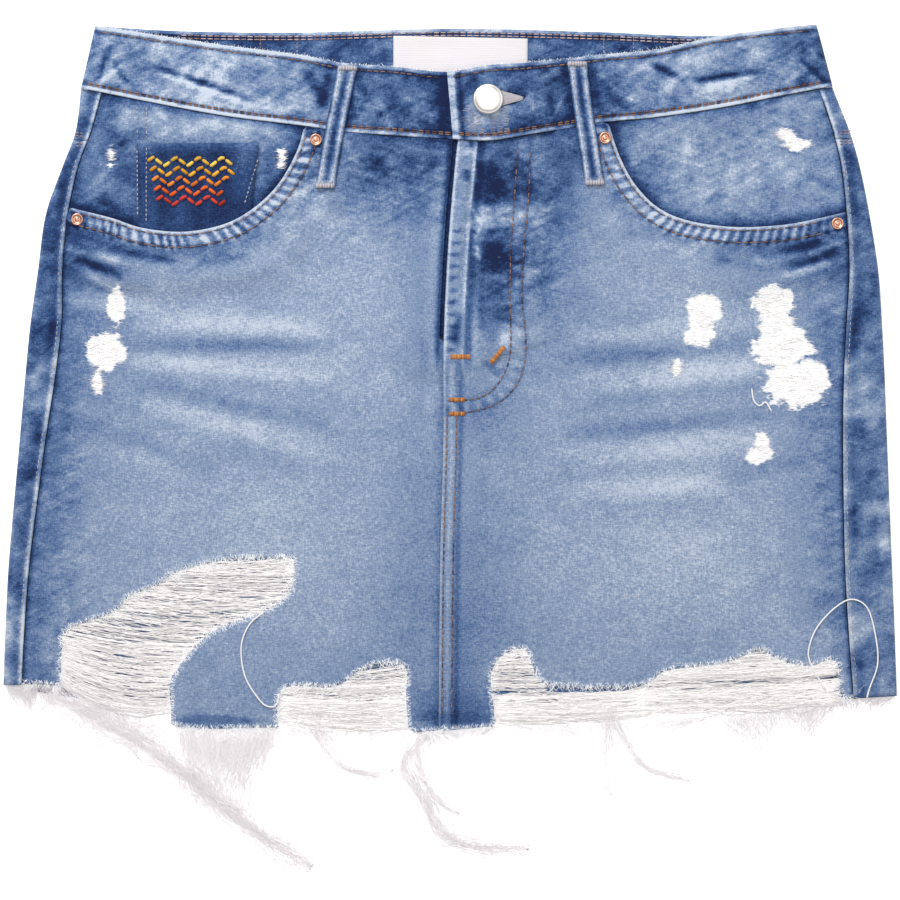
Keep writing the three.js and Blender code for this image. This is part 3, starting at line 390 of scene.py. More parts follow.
def band_turns(drop: Array) -> tuple[Array, Array]:
    """Returns the x of the waistband's left and right turns at a share of its height down from the top."""
    left = lerp(BAND_TOP_LEFT, BAND_SEAM_LEFT, drop) + BAND_TURN
    return left, lerp(BAND_TOP_RIGHT, BAND_SEAM_RIGHT, drop) - BAND_TURN


def band_underside(x: Array, drop: Array, on_top: bool | Array) -> Array:
    """Returns the height of the underside of the waistband's front."""
    left, right = band_turns(drop)
    near_side = 1 - smoothstep(np.minimum(x - left, right - x), 0, BAND_SLOPE)
    beside_label = np.maximum(np.maximum(LABEL_LEFT - LABEL_MARGIN - x, x - LABEL_RIGHT - LABEL_MARGIN), 0)
    over_label = (1 - smoothstep(beside_label, 0, LABEL_LIFT_RUN)) * (1 - drop)
    over_end = np.where(on_top, 1 - smoothstep(x, OVERLAP_END, OVERLAP_END + OVERLAP_RUN), 0)
    side_rise = (2 * BAND_FOLD_RADIUS - BAND_LAYER) * near_side
    return BAND_LAYER + side_rise + LABEL_LIFT * over_label + BAND_LAYER * over_end


@dataclass(frozen=True)
class SewnEdge:
    """A folded and topstitched edge: its lip, the stitch rows beside it and the roping that washing gives it.

    The cloth lies to the right of its line, or to the left with sign 1.
    """

    name: str
    line: Array
    rows: tuple[float, ...]
    width: float
    lip: float = 0.5
    pitch: float = 5.2
    roping: float = 0.3
    lean: float = 0.35
    wear: float = 0.3
    contrast: float = 0.26
    sign: int = -1

    def place(self, x: Array, y: Array) -> tuple[Array, Array]:
        """Returns the distance into the cloth and the run along the edge."""
        away, run = beside(self.line, x, y)
        return away * self.sign, run

    def rope(self, away: Array, run: Array) -> Array:
        """Returns the roping between the stitch rows, from -1 to 1, uneven along the edge."""
        drift = patches(run, away * 0, 17, 1, 3 + len(self.name)) * 2.4
        strength = 0.65 + 0.35 * patches(run, away * 0, 11, 1, 8 + len(self.name))
        wave = np.sin(2 * np.pi * (run + self.lean * away) / self.pitch + drift)
        return np.tanh(1.9 * wave + 0.5 * patches(run, away, 4, 3, 4)) * strength

    def relief(self, x: Array, y: Array) -> Array:
        """Returns the height that the fold adds."""
        away, run = self.place(x, y)
        fold = self.lip * (1 - smoothstep(away, self.width - 0.8, self.width + 1.2)) * (away > -1.5)
        edge_round = -0.45 * self.lip * bell(away, 0.7)
        grooves = bells(away, *((-0.32, row, 0.75) for row in self.rows))
        between = smoothstep(away, 0.2, 1.2) * (1 - smoothstep(away, self.width - 0.5, self.width + 3.0))
        return fold + edge_round + grooves + self.roping * self.rope(away, run) * between

    def shade(self, x: Array, y: Array) -> Array:
        """Returns how much lighter the wash leaves the fold, and how much darker its stitch grooves are, partly
        dye kept there and partly painted shade.
        """
        away, run = self.place(x, y)
        inside = smoothstep(away, -0.6, 0.2)
        lip = self.wear * (1 - smoothstep(away, self.rows[0] * 0.55, self.rows[0] + 0.9)) * inside
        between = smoothstep(away, 0.8, 2.0) * (1 - smoothstep(away, self.width - 0.3, self.width + 2.2))
        # darker along each stitch row: dye kept in the groove, and painted shade in it
        grooves = bells(away, *((-0.3, row, 0.95) for row in self.rows))
        return lip + grooves + self.contrast * self.rope(away, run) * between


def px(*places: tuple[float, float]) -> list[tuple[float, float]]:
    """Turns places read off the photo, in its pixels, into millimetres."""
    return [((x - 450) * 0.555, (448 - y) * 0.555) for x, y in places]


POCKET_EDGES = {
    Side.LEFT: SewnEdge("left pocket", even(LEFT_MOUTH, 4.0), (2.0, 8.6), 9.2, lip=0.7, sign=1, contrast=0.38),
    Side.RIGHT: SewnEdge("right pocket", even(RIGHT_MOUTH, 4.0), (2.0, 8.6), 9.2, lip=0.7, contrast=0.34),
}
# The two stitched curves that hold the fly, outer and inner
FLY_CURVE_OUTER, FLY_CURVE_INNER = (
    smooth_line(px(*route), 70)
    for route in (
        ((530, 143), (529, 191), (524, 250), (522, 298), (526, 340), (524, 366), (516, 386), (501, 401),
         (480, 410), (449, 415)),
        ((518, 145), (515, 191), (511, 250), (510, 298), (511, 340), (508, 364), (498, 384), (484, 396),
         (468, 400), (449, 401)),
    )
)


@dataclass(frozen=True)
class Crease:
    """A soft ridge or trough and the shade along it: pale wear on a crest, and a dark trough that is partly
    kept dye and partly painted shade.
    """

    start: tuple[float, float]
    end: tuple[float, float]
    width: float
    rise: float
    shade: float


def creases(*rows: tuple[float, ...]) -> tuple[Crease, ...]:
    """Makes creases from rows of photo pixels (from x, from y, to x, to y), a width, a rise and a shade."""
    return tuple(Crease(*px(row[0:2], row[2:4]), *row[4:]) for row in rows)


CREASES = creases(
    # drag lines under the left pocket's outer end
    (74, 250, 132, 266, 2.4, 0.5, 0.22), (76, 258, 124, 278, 2.4, -0.4, -0.42),
    (96, 246, 176, 262, 2.6, -0.4, -0.3), (82, 272, 118, 292, 2.0, 0.3, 0.2),
    # the same under the right pocket
    (842, 240, 800, 262, 2.2, 0.5, 0.22), (838, 250, 786, 270, 2.4, -0.4, -0.4),
    (830, 262, 770, 280, 2.4, 0.3, 0.2), (824, 243, 768, 254, 2.4, -0.4, -0.3),
    # waistband, left half
    (152, 66, 252, 100, 1.5, -0.5, -0.44), (160, 60, 240, 84, 2.4, 0.3, 0.08),
    (176, 72, 192, 84, 1.2, 0.2, 0.16), (98, 84, 112, 44, 1.7, -0.3, -0.4),
    (100, 84, 128, 62, 1.6, 0.3, 0.16), (112, 60, 128, 86, 1.6, -0.3, -0.3),
    (286, 76, 300, 112, 2.4, 0.3, 0.12), (300, 62, 326, 108, 3.4, -0.4, -0.34),
    (357, 76, 368, 104, 2.0, -0.3, -0.2), (378, 96, 392, 134, 1.3, 0.35, 0.26),
    (352, 84, 362, 128, 1.4, 0.2, 0.14), (396, 92, 440, 120, 3.6, 0.2, 0.1),
    (398, 76, 440, 84, 4.0, -0.3, -0.12),
    # waistband, right half
    (528, 92, 536, 118, 1.3, 0.3, 0.2), (548, 92, 556, 130, 1.8, -0.3, -0.16),
    (552, 122, 566, 92, 1.2, 0.3, 0.18), (602, 76, 618, 92, 1.2, 0.3, 0.2),
    (604, 92, 628, 110, 2.4, -0.3, -0.2), (692, 81, 768, 70, 1.6, -0.4, -0.42),
    (690, 92, 742, 84, 2.0, 0.3, 0.14), (640, 70, 676, 92, 2.2, 0.3, 0.14),
    (648, 62, 690, 84, 1.7, -0.3, -0.32), (798, 58, 826, 84, 1.6, -0.3, -0.3),
    (806, 46, 822, 66, 1.4, 0.3, 0.14),
    # beside the fly
    (476, 168, 480, 196, 1.4, 0.3, 0.2), (484, 160, 484, 208, 3.4, -0.4, -0.3),
    (500, 180, 500, 204, 5.0, -0.2, -0.2), (473, 208, 479, 226, 1.2, 0.4, 0.44),
    (479, 226, 474, 244, 1.1, 0.4, 0.4), (474, 244, 481, 262, 1.1, 0.4, 0.4),
    (486, 232, 508, 228, 1.5, -0.4, -0.34), (480, 214, 492, 206, 1.2, 0.3, 0.12),
    (474, 236, 478, 262, 1.1, 0.3, 0.24), (476, 262, 480, 330, 3.0, -0.4, -0.3),
    (528, 160, 528, 200, 2.6, -0.2, -0.26), (540, 214, 556, 204, 1.1, 0.3, 0.2),
    (544, 206, 570, 176, 3.0, -0.3, -0.14), (534, 228, 526, 280, 1.3, 0.3, 0.16),
    (546, 250, 540, 330, 4.0, -0.2, -0.14), (496, 306, 520, 300, 1.2, 0.3, 0.26),
    (492, 318, 520, 322, 2.0, -0.3, -0.26), (504, 330, 504, 350, 3.4, 0.3, 0.2),
    (484, 362, 500, 376, 2.0, -0.3, -0.24),
    # beside the slit on the left panel
    (436, 160, 438, 220, 3.0, 0.3, 0.1), (432, 336, 440, 420, 1.8, 0.4, 0.14),
    (424, 340, 428, 400, 3.0, -0.2, -0.1),
    # facings
    (190, 118, 262, 130, 3.0, 0.0, 0.12), (152, 108, 170, 122, 1.3, 0.2, 0.2),
    (100, 120, 128, 150, 4.0, -0.2, -0.2), (96, 196, 120, 210, 3.0, -0.3, -0.3),
    (262, 126, 290, 150, 3.2, 0.2, 0.14), (744, 104, 800, 116, 2.4, -0.2, -0.12),
    (808, 176, 838, 190, 2.2, -0.2, -0.12), (640, 150, 700, 152, 5.0, 0.0, 0.06),
)

# Whiskers: pale and dark bands across the thighs, sloping down towards the centre
WHISKERS = creases(
    (130, 322, 330, 330, 6.5, 0.0, 0.09), (120, 344, 340, 346, 4.0, 0.0, -0.09),
    (124, 360, 336, 378, 5.0, 0.0, 0.09), (130, 384, 330, 424, 5.0, 0.0, -0.08),
    (140, 404, 340, 458, 6.0, 0.0, 0.07), (60, 300, 160, 306, 5.0, 0.0, 0.08),
    (70, 420, 220, 470, 5.0, 0.0, -0.05), (776, 320, 560, 340, 5.0, 0.0, 0.06),
    (770, 342, 560, 362, 4.5, 0.0, -0.09), (780, 366, 570, 390, 5.5, 0.0, 0.09),
    (792, 412, 560, 436, 5.0, 0.0, -0.09), (780, 442, 566, 462, 5.5, 0.0, 0.05),
    (730, 480, 560, 492, 7.0, 0.0, 0.07), (840, 452, 720, 480, 5.0, 0.0, -0.06),
)


@dataclass(frozen=True)
class Blot:
    """An oval of paler, darker or bare cloth."""

    x: float
    y: float
    half_width: float
    half_height: float
    amount: float
    crisp: bool = False

    def at(self, x: Array, y: Array) -> Array:
        """Returns how much of the blot is at each place, with a ragged edge if it is a crisp one."""
        share = bell(np.hypot((x - self.x) / self.half_width, (y - self.y) / self.half_height), 1.0)
        if self.crisp:
            share = smoothstep(share + uneven(x, y, (0.16, 3.2, 2.2, 23), (0.1, 7, 5, 24)), 0.34, 0.58)
        return self.amount * share


def blots_at(x: Array, y: Array, *rows: tuple[float, ...]) -> Array:
    """Returns the sum of some blots, each given by its fields."""
    return sum(Blot(*row).at(x, y) for row in rows)


FRONT_BLOTS = (
    (88, 30, 34, 55, -0.1), (120, -62, 60, 38, 0.07), (-110, -66, 50, 30, 0.06), (-196, 96, 24, 8, -0.12),
    (6, -120, 10, 40, -0.12), (-38, 152, 34, 16, -0.12), (-8, 160, 12, 14, -0.12), (64, 160, 16, 16, -0.16),
    (58, 128, 14, 24, -0.12), (28, 150, 13, 13, -0.3), (28, 130.5, 15, 5, 0.34), (24, 103, 9, 20, -0.26),
    (44, 122, 5, 16, 0.14), (32, 60, 9, 9, 0.12), (-10, 60, 5, 60, -0.06), (12, -146, 20, 12, -0.26),
    (-232, -110, 16, 30, -0.06), (-14, -146, 10, 12, -0.16), (-150, 60, 50, 60, 0.03),
    (-70, 70, 42, 70, 0.06), (100, 60, 50, 60, 0.06), (110, -20, 60, 60, 0.05), (-110, -40, 70, 40, 0.05),
    (-30, 148, 34, 22, -0.2), (-52, 158, 30, 12, -0.12), (60, 150, 20, 26, -0.16), (26, 130, 14, 40, -0.3),
    (40, 108, 22, 30, -0.12), (28, 84, 12, 24, -0.14), (-205, 60, 26, 60, -0.14), (-212, 110, 30, 20, -0.2),
    (206, 80, 22, 70, -0.12), (200, 108, 36, 16, -0.2), (20, -70, 22, 60, -0.12), (-20, -70, 16, 70, -0.1),
    (14, 20, 18, 20, -0.12), (-222, -30, 16, 90, -0.14), (206, -40, 18, 80, -0.08),
    (60, -100, 60, 20, -0.05), (-60, -130, 50, 18, -0.08), (-100, 0, 40, 18, -0.04),
    (22, 146, 8.5, 14, -0.2, True), (38, 150, 5, 13, -0.14, True), (20, 124.5, 15, 5, 0.3, True),
    (-16, 95, 14, 60, -0.1), (60, 105, 15, 40, -0.09), (24, 106, 10, 11, -0.16, True),
    (46, 142, 4, 10, -0.14, True), (50, 118, 3.2, 15, 0.12, True), (24, 74, 9, 16, -0.12, True),
    (-132, -152, 26, 4.5, -0.26, True), (2, -150, 22, 4, -0.14, True),
)
BARE_PATCHES = (
    (-188, 161.5, 2.2, 7, 0.86), (-93.8, 160.4, 2.7, 7, 0.84), (-185.6, 78.4, 5.0, 11, 1.3),
    (-191, 54, 11.5, 11, 1.15), (-195.6, 36.6, 2.9, 8, 1.1), (186, 174, 6.5, 4.5, 0.72),
    (192, 168.6, 10, 4.5, 0.8), (141, 77, 9.5, 9, 1.4), (139, 64, 8.5, 9, 1.3), (179.5, 81, 11, 9, 1.4),
    (181, 70, 10, 9, 1.3), (185, 56, 17, 11, 1.4), (192, 36, 19, 13, 1.4), (126.3, 45.8, 2.6, 6.4, 1.1),
    (172, -4, 7.4, 5.4, 1.3), (173.5, 4, 4.0, 6.0, 1.2),
)


def relief_of(x: Array, y: Array) -> Array:
    """Returns the height of the creases and the cloth's slight unevenness."""
    rise = uneven(x, y, (0.16, 24, 19, 11), (0.08, 8, 9, 12), (0.05, 3.4, 3.1, 13))
    for crease in CREASES:
        rise = rise + crease.rise * ridge(x, y, (*crease.start, *crease.end, crease.width))
    return rise


def shade_of(x: Array, y: Array, lines: tuple[Crease, ...] = CREASES) -> Array:
    """Returns how much the creases lighten or darken the cloth, each with a copy just below it: painted shade
    on the lower flank of a pale crest, and a painted highlight below a dark trough.
    """
    shade = np.zeros(np.shape(x))
    strength = 1.25 + 0.45 * patches(x, y, 6, 4, 14)
    for crease in lines:
        line = (*crease.start, *crease.end, crease.width * 1.05)
        # a copy of the line moved down: painted shade under a pale crest, and a painted highlight under a dark
        # trough
        beyond = ridge(x, y + 1.7 * crease.width, line)
        shade = shade + crease.shade * (ridge(x, y, line) - 0.4 * beyond) * strength
    return shade


def bare_at(x: Array, y: Array) -> Array:
    """Returns how far the blue is worn off, 0 to 1, with a ragged edge."""
    worn = np.max([Blot(*row).at(x, y) for row in BARE_PATCHES], axis=0)
    ragged = uneven(x, y, (0.26, 4.5, 3.0, 21), (0.16, 1.9, 1.6, 22))
    return smoothstep(worn + ragged * smoothstep(worn, 0.12, 0.5), 0.36, 0.66)


@dataclass
class Cloth:
    """A mesh in the making, in millimetres, with values at its points that its finish reads."""

    points: Array
    faces: list[tuple[int, ...]]
    marks: dict[str, Array] = field(default_factory=dict)

    def made(self, name: str, material: Material) -> Piece:
        """Makes the object, with its name and finish, in metres."""
        mesh = bpy.data.meshes.new(name)
        mesh.from_pydata((self.points * MM).tolist(), [], self.faces)
        mesh.validate()
        for mark, values in self.marks.items():
            layer = mesh.attributes.new(mark, "FLOAT", "POINT")
            layer.data.foreach_set("value", np.asarray(values, np.float32).ravel())
        mesh.polygons.foreach_set("use_smooth", [True] * len(mesh.polygons))
        mesh.materials.append(material)
        made = bpy.data.objects.new(name, mesh)
        bpy.context.scene.collection.objects.link(made)
        return made


def joined(parts: list[Cloth]) -> Cloth:
    """Joins meshes that carry the same marks."""
    faces: list[tuple[int, ...]] = []
    start = 0
    for part in parts:
        faces += [tuple(i + start for i in face) for face in part.faces]
        start += len(part.points)
    marks = {name: np.concatenate([part.marks[name] for part in parts]) for name in parts[0].marks}
    return Cloth(np.concatenate([part.points for part in parts]), faces, marks)


def cut(outline: Array, spacing: float, guides: list[Array]) -> tuple[Array, list[tuple[int, ...]]]:
    """Cuts a piece of cloth to an outline.

    Args:
        outline: its closed outline.
        spacing: how far apart its points are.
        guides: lines that need points of their own, such as beside a seam.
    Returns:
        Its points and its triangles.
    """
    rim = even(np.vstack([outline, outline[:1]]), spacing * 0.8)[:-1]
    kept = [rim]
    for guide in guides:
        line = even(guide, spacing * 0.8)
        kept.append(line[within(rim, *line.T)])
    lines = np.vstack(kept)
    tree = KDTree(len(lines))
    for k, (x, y) in enumerate(lines):
        tree.insert((x, y, 0), k)
    tree.balance()
    low, high = rim.min(axis=0), rim.max(axis=0)
    ys = np.arange(low[1], high[1], spacing * math.sqrt(3) / 2)
    grid_x, grid_y = np.meshgrid(np.arange(low[0], high[0], spacing), ys)
    grid_x = grid_x + (np.arange(len(ys)) % 2 * spacing / 2)[:, None]
    # each inner point is shifted a little, and stays clear of the lines
    shift = np.random.default_rng(1).uniform(-0.12, 0.12, (2, *grid_x.shape)) * spacing
    inner = np.stack([(grid_x + shift[0]).ravel(), (grid_y + shift[1]).ravel()], axis=1)
    inner = inner[within(rim, *inner.T)]
    inner = inner[np.array([tree.find((x, y, 0))[2] > spacing * 0.6 for x, y in inner], bool)]
    # guide points too near the rim or another guide are dropped
    lone = [
        k for k in range(len(rim), len(lines))
        if all(index >= k for _, index, _ in tree.find_range((*lines[k], 0), NEAREST_POINTS))
    ]
    flat = np.vstack([rim, lines[lone], inner])
    points, _, faces, *_ = delaunay_2d_cdt([Vector(p) for p in flat], [], [list(range(len(rim)))], 1, 1e-5)
    return np.array([tuple(point) for point in points]), [tuple(face) for face in faces]


def shell(
    flat: Array, faces: list[tuple[int, ...]], top: Array, bottom: Array, marks: dict[str, Array]
) -> Cloth:
    """Closes a cut piece into a thin shell.

    Args:
        flat: its points in plan.
        faces: its triangles.
        top, bottom: the heights of its two faces.
        marks: values at its points, the same on both faces.
    Returns:
        The shell, with a rim along every open edge.
    """
    count = len(flat)
    a, b, c = (flat[[face[k] for face in faces[:50]]] for k in range(3))
    if ((b - a)[:, 0] * (c - a)[:, 1] - (c - a)[:, 0] * (b - a)[:, 1]).sum() < 0:
        faces = [face[::-1] for face in faces]
    points = np.vstack([np.column_stack([flat, top]), np.column_stack([flat, bottom])])
    edges = {pair: True for face in faces for pair in zip(face, face[1:] + face[:1])}
    rim = [(a, b) for a, b in edges if (b, a) not in edges]
    under = [tuple(i + count for i in face[::-1]) for face in faces]
    walls = [(b, a, a + count, b + count) for a, b in rim]
    return Cloth(points, faces + under + walls, {name: np.concatenate([v, v]) for name, v in marks.items()})


def grid_shell(outer: Array, inner: Array, marks: dict[str, Array]) -> Cloth:
    """Closes two matching grids of points (columns, rows, 3) into a thin shell.

    Args:
        outer, inner: the two faces.
        marks: values at the points, as grids of shape (2, columns, rows), outer first.
    Returns:
        The shell.
    """
    columns, rows = outer.shape[:2]
    n = np.arange(columns * rows).reshape(columns, rows)
    m = n + columns * rows
    quads = (
        (n[:-1, :-1], n[1:, :-1], n[1:, 1:], n[:-1, 1:]),
        (m[:-1, 1:], m[1:, 1:], m[1:, :-1], m[:-1, :-1]),
        (n[:-1, 0], m[:-1, 0], m[1:, 0], n[1:, 0]),
        (n[1:, -1], m[1:, -1], m[:-1, -1], n[:-1, -1]),
        (n[0, 1:], m[0, 1:], m[0, :-1], n[0, :-1]),
        (n[-1, :-1], m[-1, :-1], m[-1, 1:], n[-1, 1:]),
    )
    faces = np.vstack([np.column_stack([corner.ravel() for corner in quad]) for quad in quads])
    points = np.concatenate([outer.reshape(-1, 3), inner.reshape(-1, 3)])
    a, b, c, d = (points[faces[:, k]] for k in range(4))
    volume = np.einsum("ij,ij->", a, np.cross(b, c)) + np.einsum("ij,ij->", a, np.cross(c, d))
    if volume < 0:
        faces = faces[:, ::-1]
    marks = {name: values.reshape(-1) for name, values in marks.items()}
    return Cloth(points, [tuple(face) for face in faces.tolist()], marks)


def strands(
    paths: Array, radius: float | Array, sides: int = 3, taper: tuple[float, ...] | None = None
) -> Cloth:
    """Makes many thin strands at once.

    Args:
        paths: their points, of shape (strands, points, 3).
        radius: one radius, or one for each strand.
        sides: how many sides each has.
        taper: a share of the radius at each point along, or none for pointed ends.
    Returns:
        All the strands as one mesh, with a mark "tint" from 0 to 1 for each.
    """
    count, steps, _ = paths.shape
    along = np.gradient(paths, axis=1)
    along /= np.maximum(np.linalg.norm(along, axis=2, keepdims=True), 1e-9)
    level = np.cross(along, [0.0, 0.0, 1.0])
    level /= np.maximum(np.linalg.norm(level, axis=2, keepdims=True), 1e-9)
    rise = np.cross(level, along)
    shape = np.array(taper) if taper else np.where((np.arange(steps) % (steps - 1)) == 0, 0.35, 1.0)
    reach = (np.broadcast_to(np.reshape(radius, (-1, 1)), (count, 1)) * shape)[:, :, None, None]
    turns = (np.arange(sides) * 2 * np.pi / sides)[:, None]
    ring = paths[:, :, None] + (level[:, :, None] * np.cos(turns) + rise[:, :, None] * np.sin(turns)) * reach
    number = np.arange(count * steps * sides).reshape(count, steps, sides)
    after = np.roll(number, -1, axis=2)
    around = (number[:, :-1], number[:, 1:], after[:, 1:], after[:, :-1])
    faces = np.stack([corner.ravel() for corner in around], axis=1).tolist()
    faces += number[:, 0, :].tolist() + number[:, -1, ::-1].tolist()
    tint = np.random.default_rng(count).uniform(0, 1, count)
    return Cloth(ring.reshape(-1, 3), faces, {"tint": np.repeat(tint, steps * sides)})


# Finishes
def linear(hex_colour: str) -> tuple[float, float, float, float]:
    """Turns an sRGB hex value into a linear colour."""
    parts = [int(hex_colour[k : k + 2], 16) / 255 for k in (1, 3, 5)]
    r, g, b = (p / 12.92 if p <= 0.04045 else ((p + 0.055) / 1.055) ** 2.4 for p in parts)
    return r, g, b, 1.0


def add_node(
    tree: bpy.types.NodeTree,
    kind: str,
    links: dict[str | int, object],
    out: str | int = 0,
    **settings: object,
) -> Socket:
    """Adds a node to a material.

    Args:
        tree: the material's node tree.
        kind: the node's type, less its first word.
        links: its inputs by name or number, each a value or another node's output.
        out: which of its outputs is wanted.
        settings: its properties by name.
    Returns:
        That output.
    """
    node = tree.nodes.new("ShaderNode" + kind)
    for name, value in settings.items():
        setattr(node, name, value)
    for name, value in links.items():
        if isinstance(value, Socket):
            tree.links.new(value, node.inputs[name])
        else:
            node.inputs[name].default_value = value
    return node.outputs[out]


@dataclass(frozen=True)
class Finish:
    """A material in the making. A finish of one kind says how its own colours and grain are built."""

    name: str

    def dress(self, tree: bpy.types.NodeTree, place: Socket) -> dict[str, object]:
        """Builds the finish's nodes and returns what goes into the shader, by input."""
        raise NotImplementedError

    def material(self) -> bpy.types.Material:
        """Makes the material."""
        material = bpy.data.materials.new(self.name)
        material.use_nodes = True
        tree = material.node_tree
        shader = tree.nodes["Principled BSDF"]
        for name, value in self.dress(tree, add_node(tree, "NewGeometry", {}, "Position")).items():
            if isinstance(value, Socket):
                tree.links.new(value, shader.inputs[name])
            else:
                shader.inputs[name].default_value = value
        return material


def colour_ramp(tree: bpy.types.NodeTree, value: Socket, stops: tuple[tuple[float, str], ...]) -> Socket:
    """Returns the colour that a value has along a row of stops, each a position and a hex colour."""
    colour = add_node(tree, "ValToRGB", {"Fac": value})
    elements = colour.node.color_ramp.elements
    for element, (position, shade) in zip((elements[0], elements[1]), (stops[0], stops[-1])):
        element.position, element.color = position, linear(shade)
    for position, shade in stops[1:-1]:
        elements.new(position).color = linear(shade)
    return colour


@dataclass(frozen=True)
class StonewashedDenim(Finish):
    """Indigo twill, washed with stones: pale slubs over blue, darkest where the folds kept their dye and where
    shade is painted into the cloth.
    """

    name: str = "stonewashed denim"
    # from cloth that kept its dye, and cloth in painted shade, to cloth that lost it
    washes: tuple[tuple[float, str], ...] = (
        (0.0, "#0c1e45"), (0.25, "#274371"), (0.5, "#546e98"), (0.77, "#899ab5"), (1.0, "#bfc9d8"),
    )
    weft: str = "#efefef"
    slub: float = 0.21
    grain: float = 0.13
    crinkle: float = 0.36
    # small crinkles in three directions: turn, length, width and weight
    crinkles: tuple[tuple[float, ...], ...] = (
        (-0.45, 24, 5.2, 1.0), (0.3, 15, 3.1, 0.8), (-0.55, 10, 2.0, 0.45),
    )
    # real yarns are 0.4 mm apart, and are drawn at 0.66 mm so that they show
    yarn: float = 0.66

    def dress(self, tree: bpy.types.NodeTree, place: Socket) -> dict[str, object]:
        """Builds the wash, with the painted shade that it carries, from the marks "fade", "mottle" and "bare"
        on the cloth, and the yarns over it.
        """
        names = ("fade", "mottle", "bare")
        fade, mottle, bare = (add_node(tree, "Attribute", {}, "Fac", attribute_name=name) for name in names)

        def streaks(
            wide: float, high: float, deep: float, detail: float, rough: float, turn: float = 0.0
        ) -> Socket:
            """Returns noise whose grains have that size in millimetres."""
            turned = place
            if turn:
                links = {"Vector": place, "Angle": turn}
                turned = add_node(tree, "VectorRotate", links, rotation_type="Z_AXIS")
            size = (1000 / wide, 1000 / high, 1000 / deep)
            scaled = add_node(tree, "VectorMath", {0: turned, 1: size}, operation="MULTIPLY")
            links = {"Vector": scaled, "Scale": 1.0, "Detail": detail, "Roughness": rough}
            return add_node(tree, "TexNoise", links, "Fac")

        def plus(total: object, value: object, amount: object, middle: float = 0.5) -> Socket:
            """Returns the total with that amount of a value, counted from its middle, added."""
            moved_value = add_node(tree, "Math", {0: value, 1: -middle}, operation="ADD")
            return add_node(tree, "Math", {0: moved_value, 1: amount, 2: total}, operation="MULTIPLY_ADD")

        long = self.yarn * 3.2
        warp = streaks(self.yarn, long, long, 0.6, 0.6)
        weft = streaks(long, self.yarn, long, 0.6, 0.6)
        grain = streaks(self.yarn * 1.1, self.yarn * 1.1, self.yarn * 1.1, 1.0, 0.6)
        clouds = streaks(9, 12, 12, 3.0, 0.6)
        scale = 1000 / (self.yarn * 2 * 6.28) * 3.4
        bands = {"Scale": scale, "Distortion": 3.0, "Detail": 1.0, "Vector": place}
        twill = add_node(tree, "TexWave", bands, "Fac", wave_type="BANDS", bands_direction="DIAGONAL")
        total = fade
        threads = ((warp, self.slub * 1.6), (weft, self.slub * 1.9), (grain, self.grain * 1.4), (twill, 0.05))
        for value, amount in threads:
            total = plus(total, value, amount)
        total = plus(total, plus(0.0, clouds, mottle), 1.5, 0.0)
        # each has worn crests and dark troughs, longer than they are wide
        for turn, length, width, weight in self.crinkles:
            noise = streaks(length, width, 1000 / 60, 1.5, 0.5, turn)
            for low, high, amount in ((0.56, 0.74, self.crinkle), (0.46, 0.28, -self.crinkle)):
                share = add_node(tree, "MapRange", {"Value": noise, "From Min": low, "From Max": high})
                total = plus(total, plus(0.0, share, mottle, 0.0), amount * weight, 0.0)
        worn = add_node(tree, "MapRange", {"Value": plus(bare, weft, 1.1), "From Min": 0.3, "From Max": 0.75})
        shades = {"Factor": worn, 6: colour_ramp(tree, total, self.washes), 7: linear(self.weft)}
        colour = add_node(tree, "Mix", shades, 2, data_type="RGBA")
        height = plus(plus(warp, weft, 1.0, 0.0), grain, 0.8, 0.0)
        return {
            "Base Color": colour,
            "Roughness": add_node(tree, "MapRange", {"Value": grain, "To Min": 0.82, "To Max": 0.98}),
            "Normal": add_node(tree, "Bump", {"Height": height, "Distance": 0.0003, "Strength": 0.55}),
            "Sheen Weight": 0.06,
            "Sheen Roughness": 0.6,
            "Specular IOR Level": 0.2,
        }


@dataclass(frozen=True)
class SpunCotton(Finish):
    """Cotton yarn or tape, matt and slightly uneven in colour from strand to strand."""

    dark: str
    light: str
    sheen: float = 0.1
    # light that scatters from fibre to fibre, which the render's few bounces would lose
    glow: float = 0.0
    # twist of a thread, drawn at 0.8 mm so that it shows
    twist: float = 0.8

    def dress(self, tree: bpy.types.NodeTree, place: Socket) -> dict[str, object]:
        """Builds the yarn from the mark "tint" on the strands."""
        tint = add_node(tree, "Attribute", {}, "Fac", attribute_name="tint")
        links = {"Vector": place, "Scale": 1000 / self.twist, "Detail": 2.0}
        noise = add_node(tree, "TexNoise", links, "Fac")
        value = add_node(tree, "Math", {0: noise, 1: 0.5, 2: tint}, operation="MULTIPLY_ADD")
        return {
            "Base Color": colour_ramp(tree, value, ((0.2, self.dark), (1.2, self.light))),
            "Normal": add_node(tree, "Bump", {"Height": noise, "Distance": 0.0002, "Strength": 0.4}),
            "Roughness": 0.9,
            "Sheen Weight": self.sheen,
            "Specular IOR Level": 0.2,
            **({"Emission Color": linear(self.light), "Emission Strength": self.glow} if self.glow else {}),
        }


@dataclass(frozen=True)
class WovenTape(Finish):
    """White polyester label tape: a fine even weave with a soft gloss."""

    name: str = "white label tape"
    ground: str = "#dfdadc"
    shade: str = "#d3cdd0"
    rib: float = 0.5

    def dress(self, tree: bpy.types.NodeTree, place: Socket) -> dict[str, object]:
        """Builds the tape's ribs and the faint clouds over them."""
        bands = {"Vector": place, "Scale": 1000 / self.rib / 6.3, "Distortion": 3.0, "Detail": 2.0}
        ribs = add_node(tree, "TexWave", bands, "Fac", bands_direction="Y")
        cloud = add_node(tree, "TexNoise", {"Vector": place, "Scale": 90.0, "Detail": 2.0}, "Fac")
        mixed = add_node(tree, "Math", {0: ribs, 1: cloud}, operation="MULTIPLY")
        shades = {"Factor": mixed, 6: linear(self.ground), 7: linear(self.shade)}
        return {
            "Base Color": add_node(tree, "Mix", shades, 2, data_type="RGBA"),
            "Normal": add_node(tree, "Bump", {"Height": ribs, "Distance": 0.0001, "Strength": 0.4}),
            "Roughness": 0.6,
        }


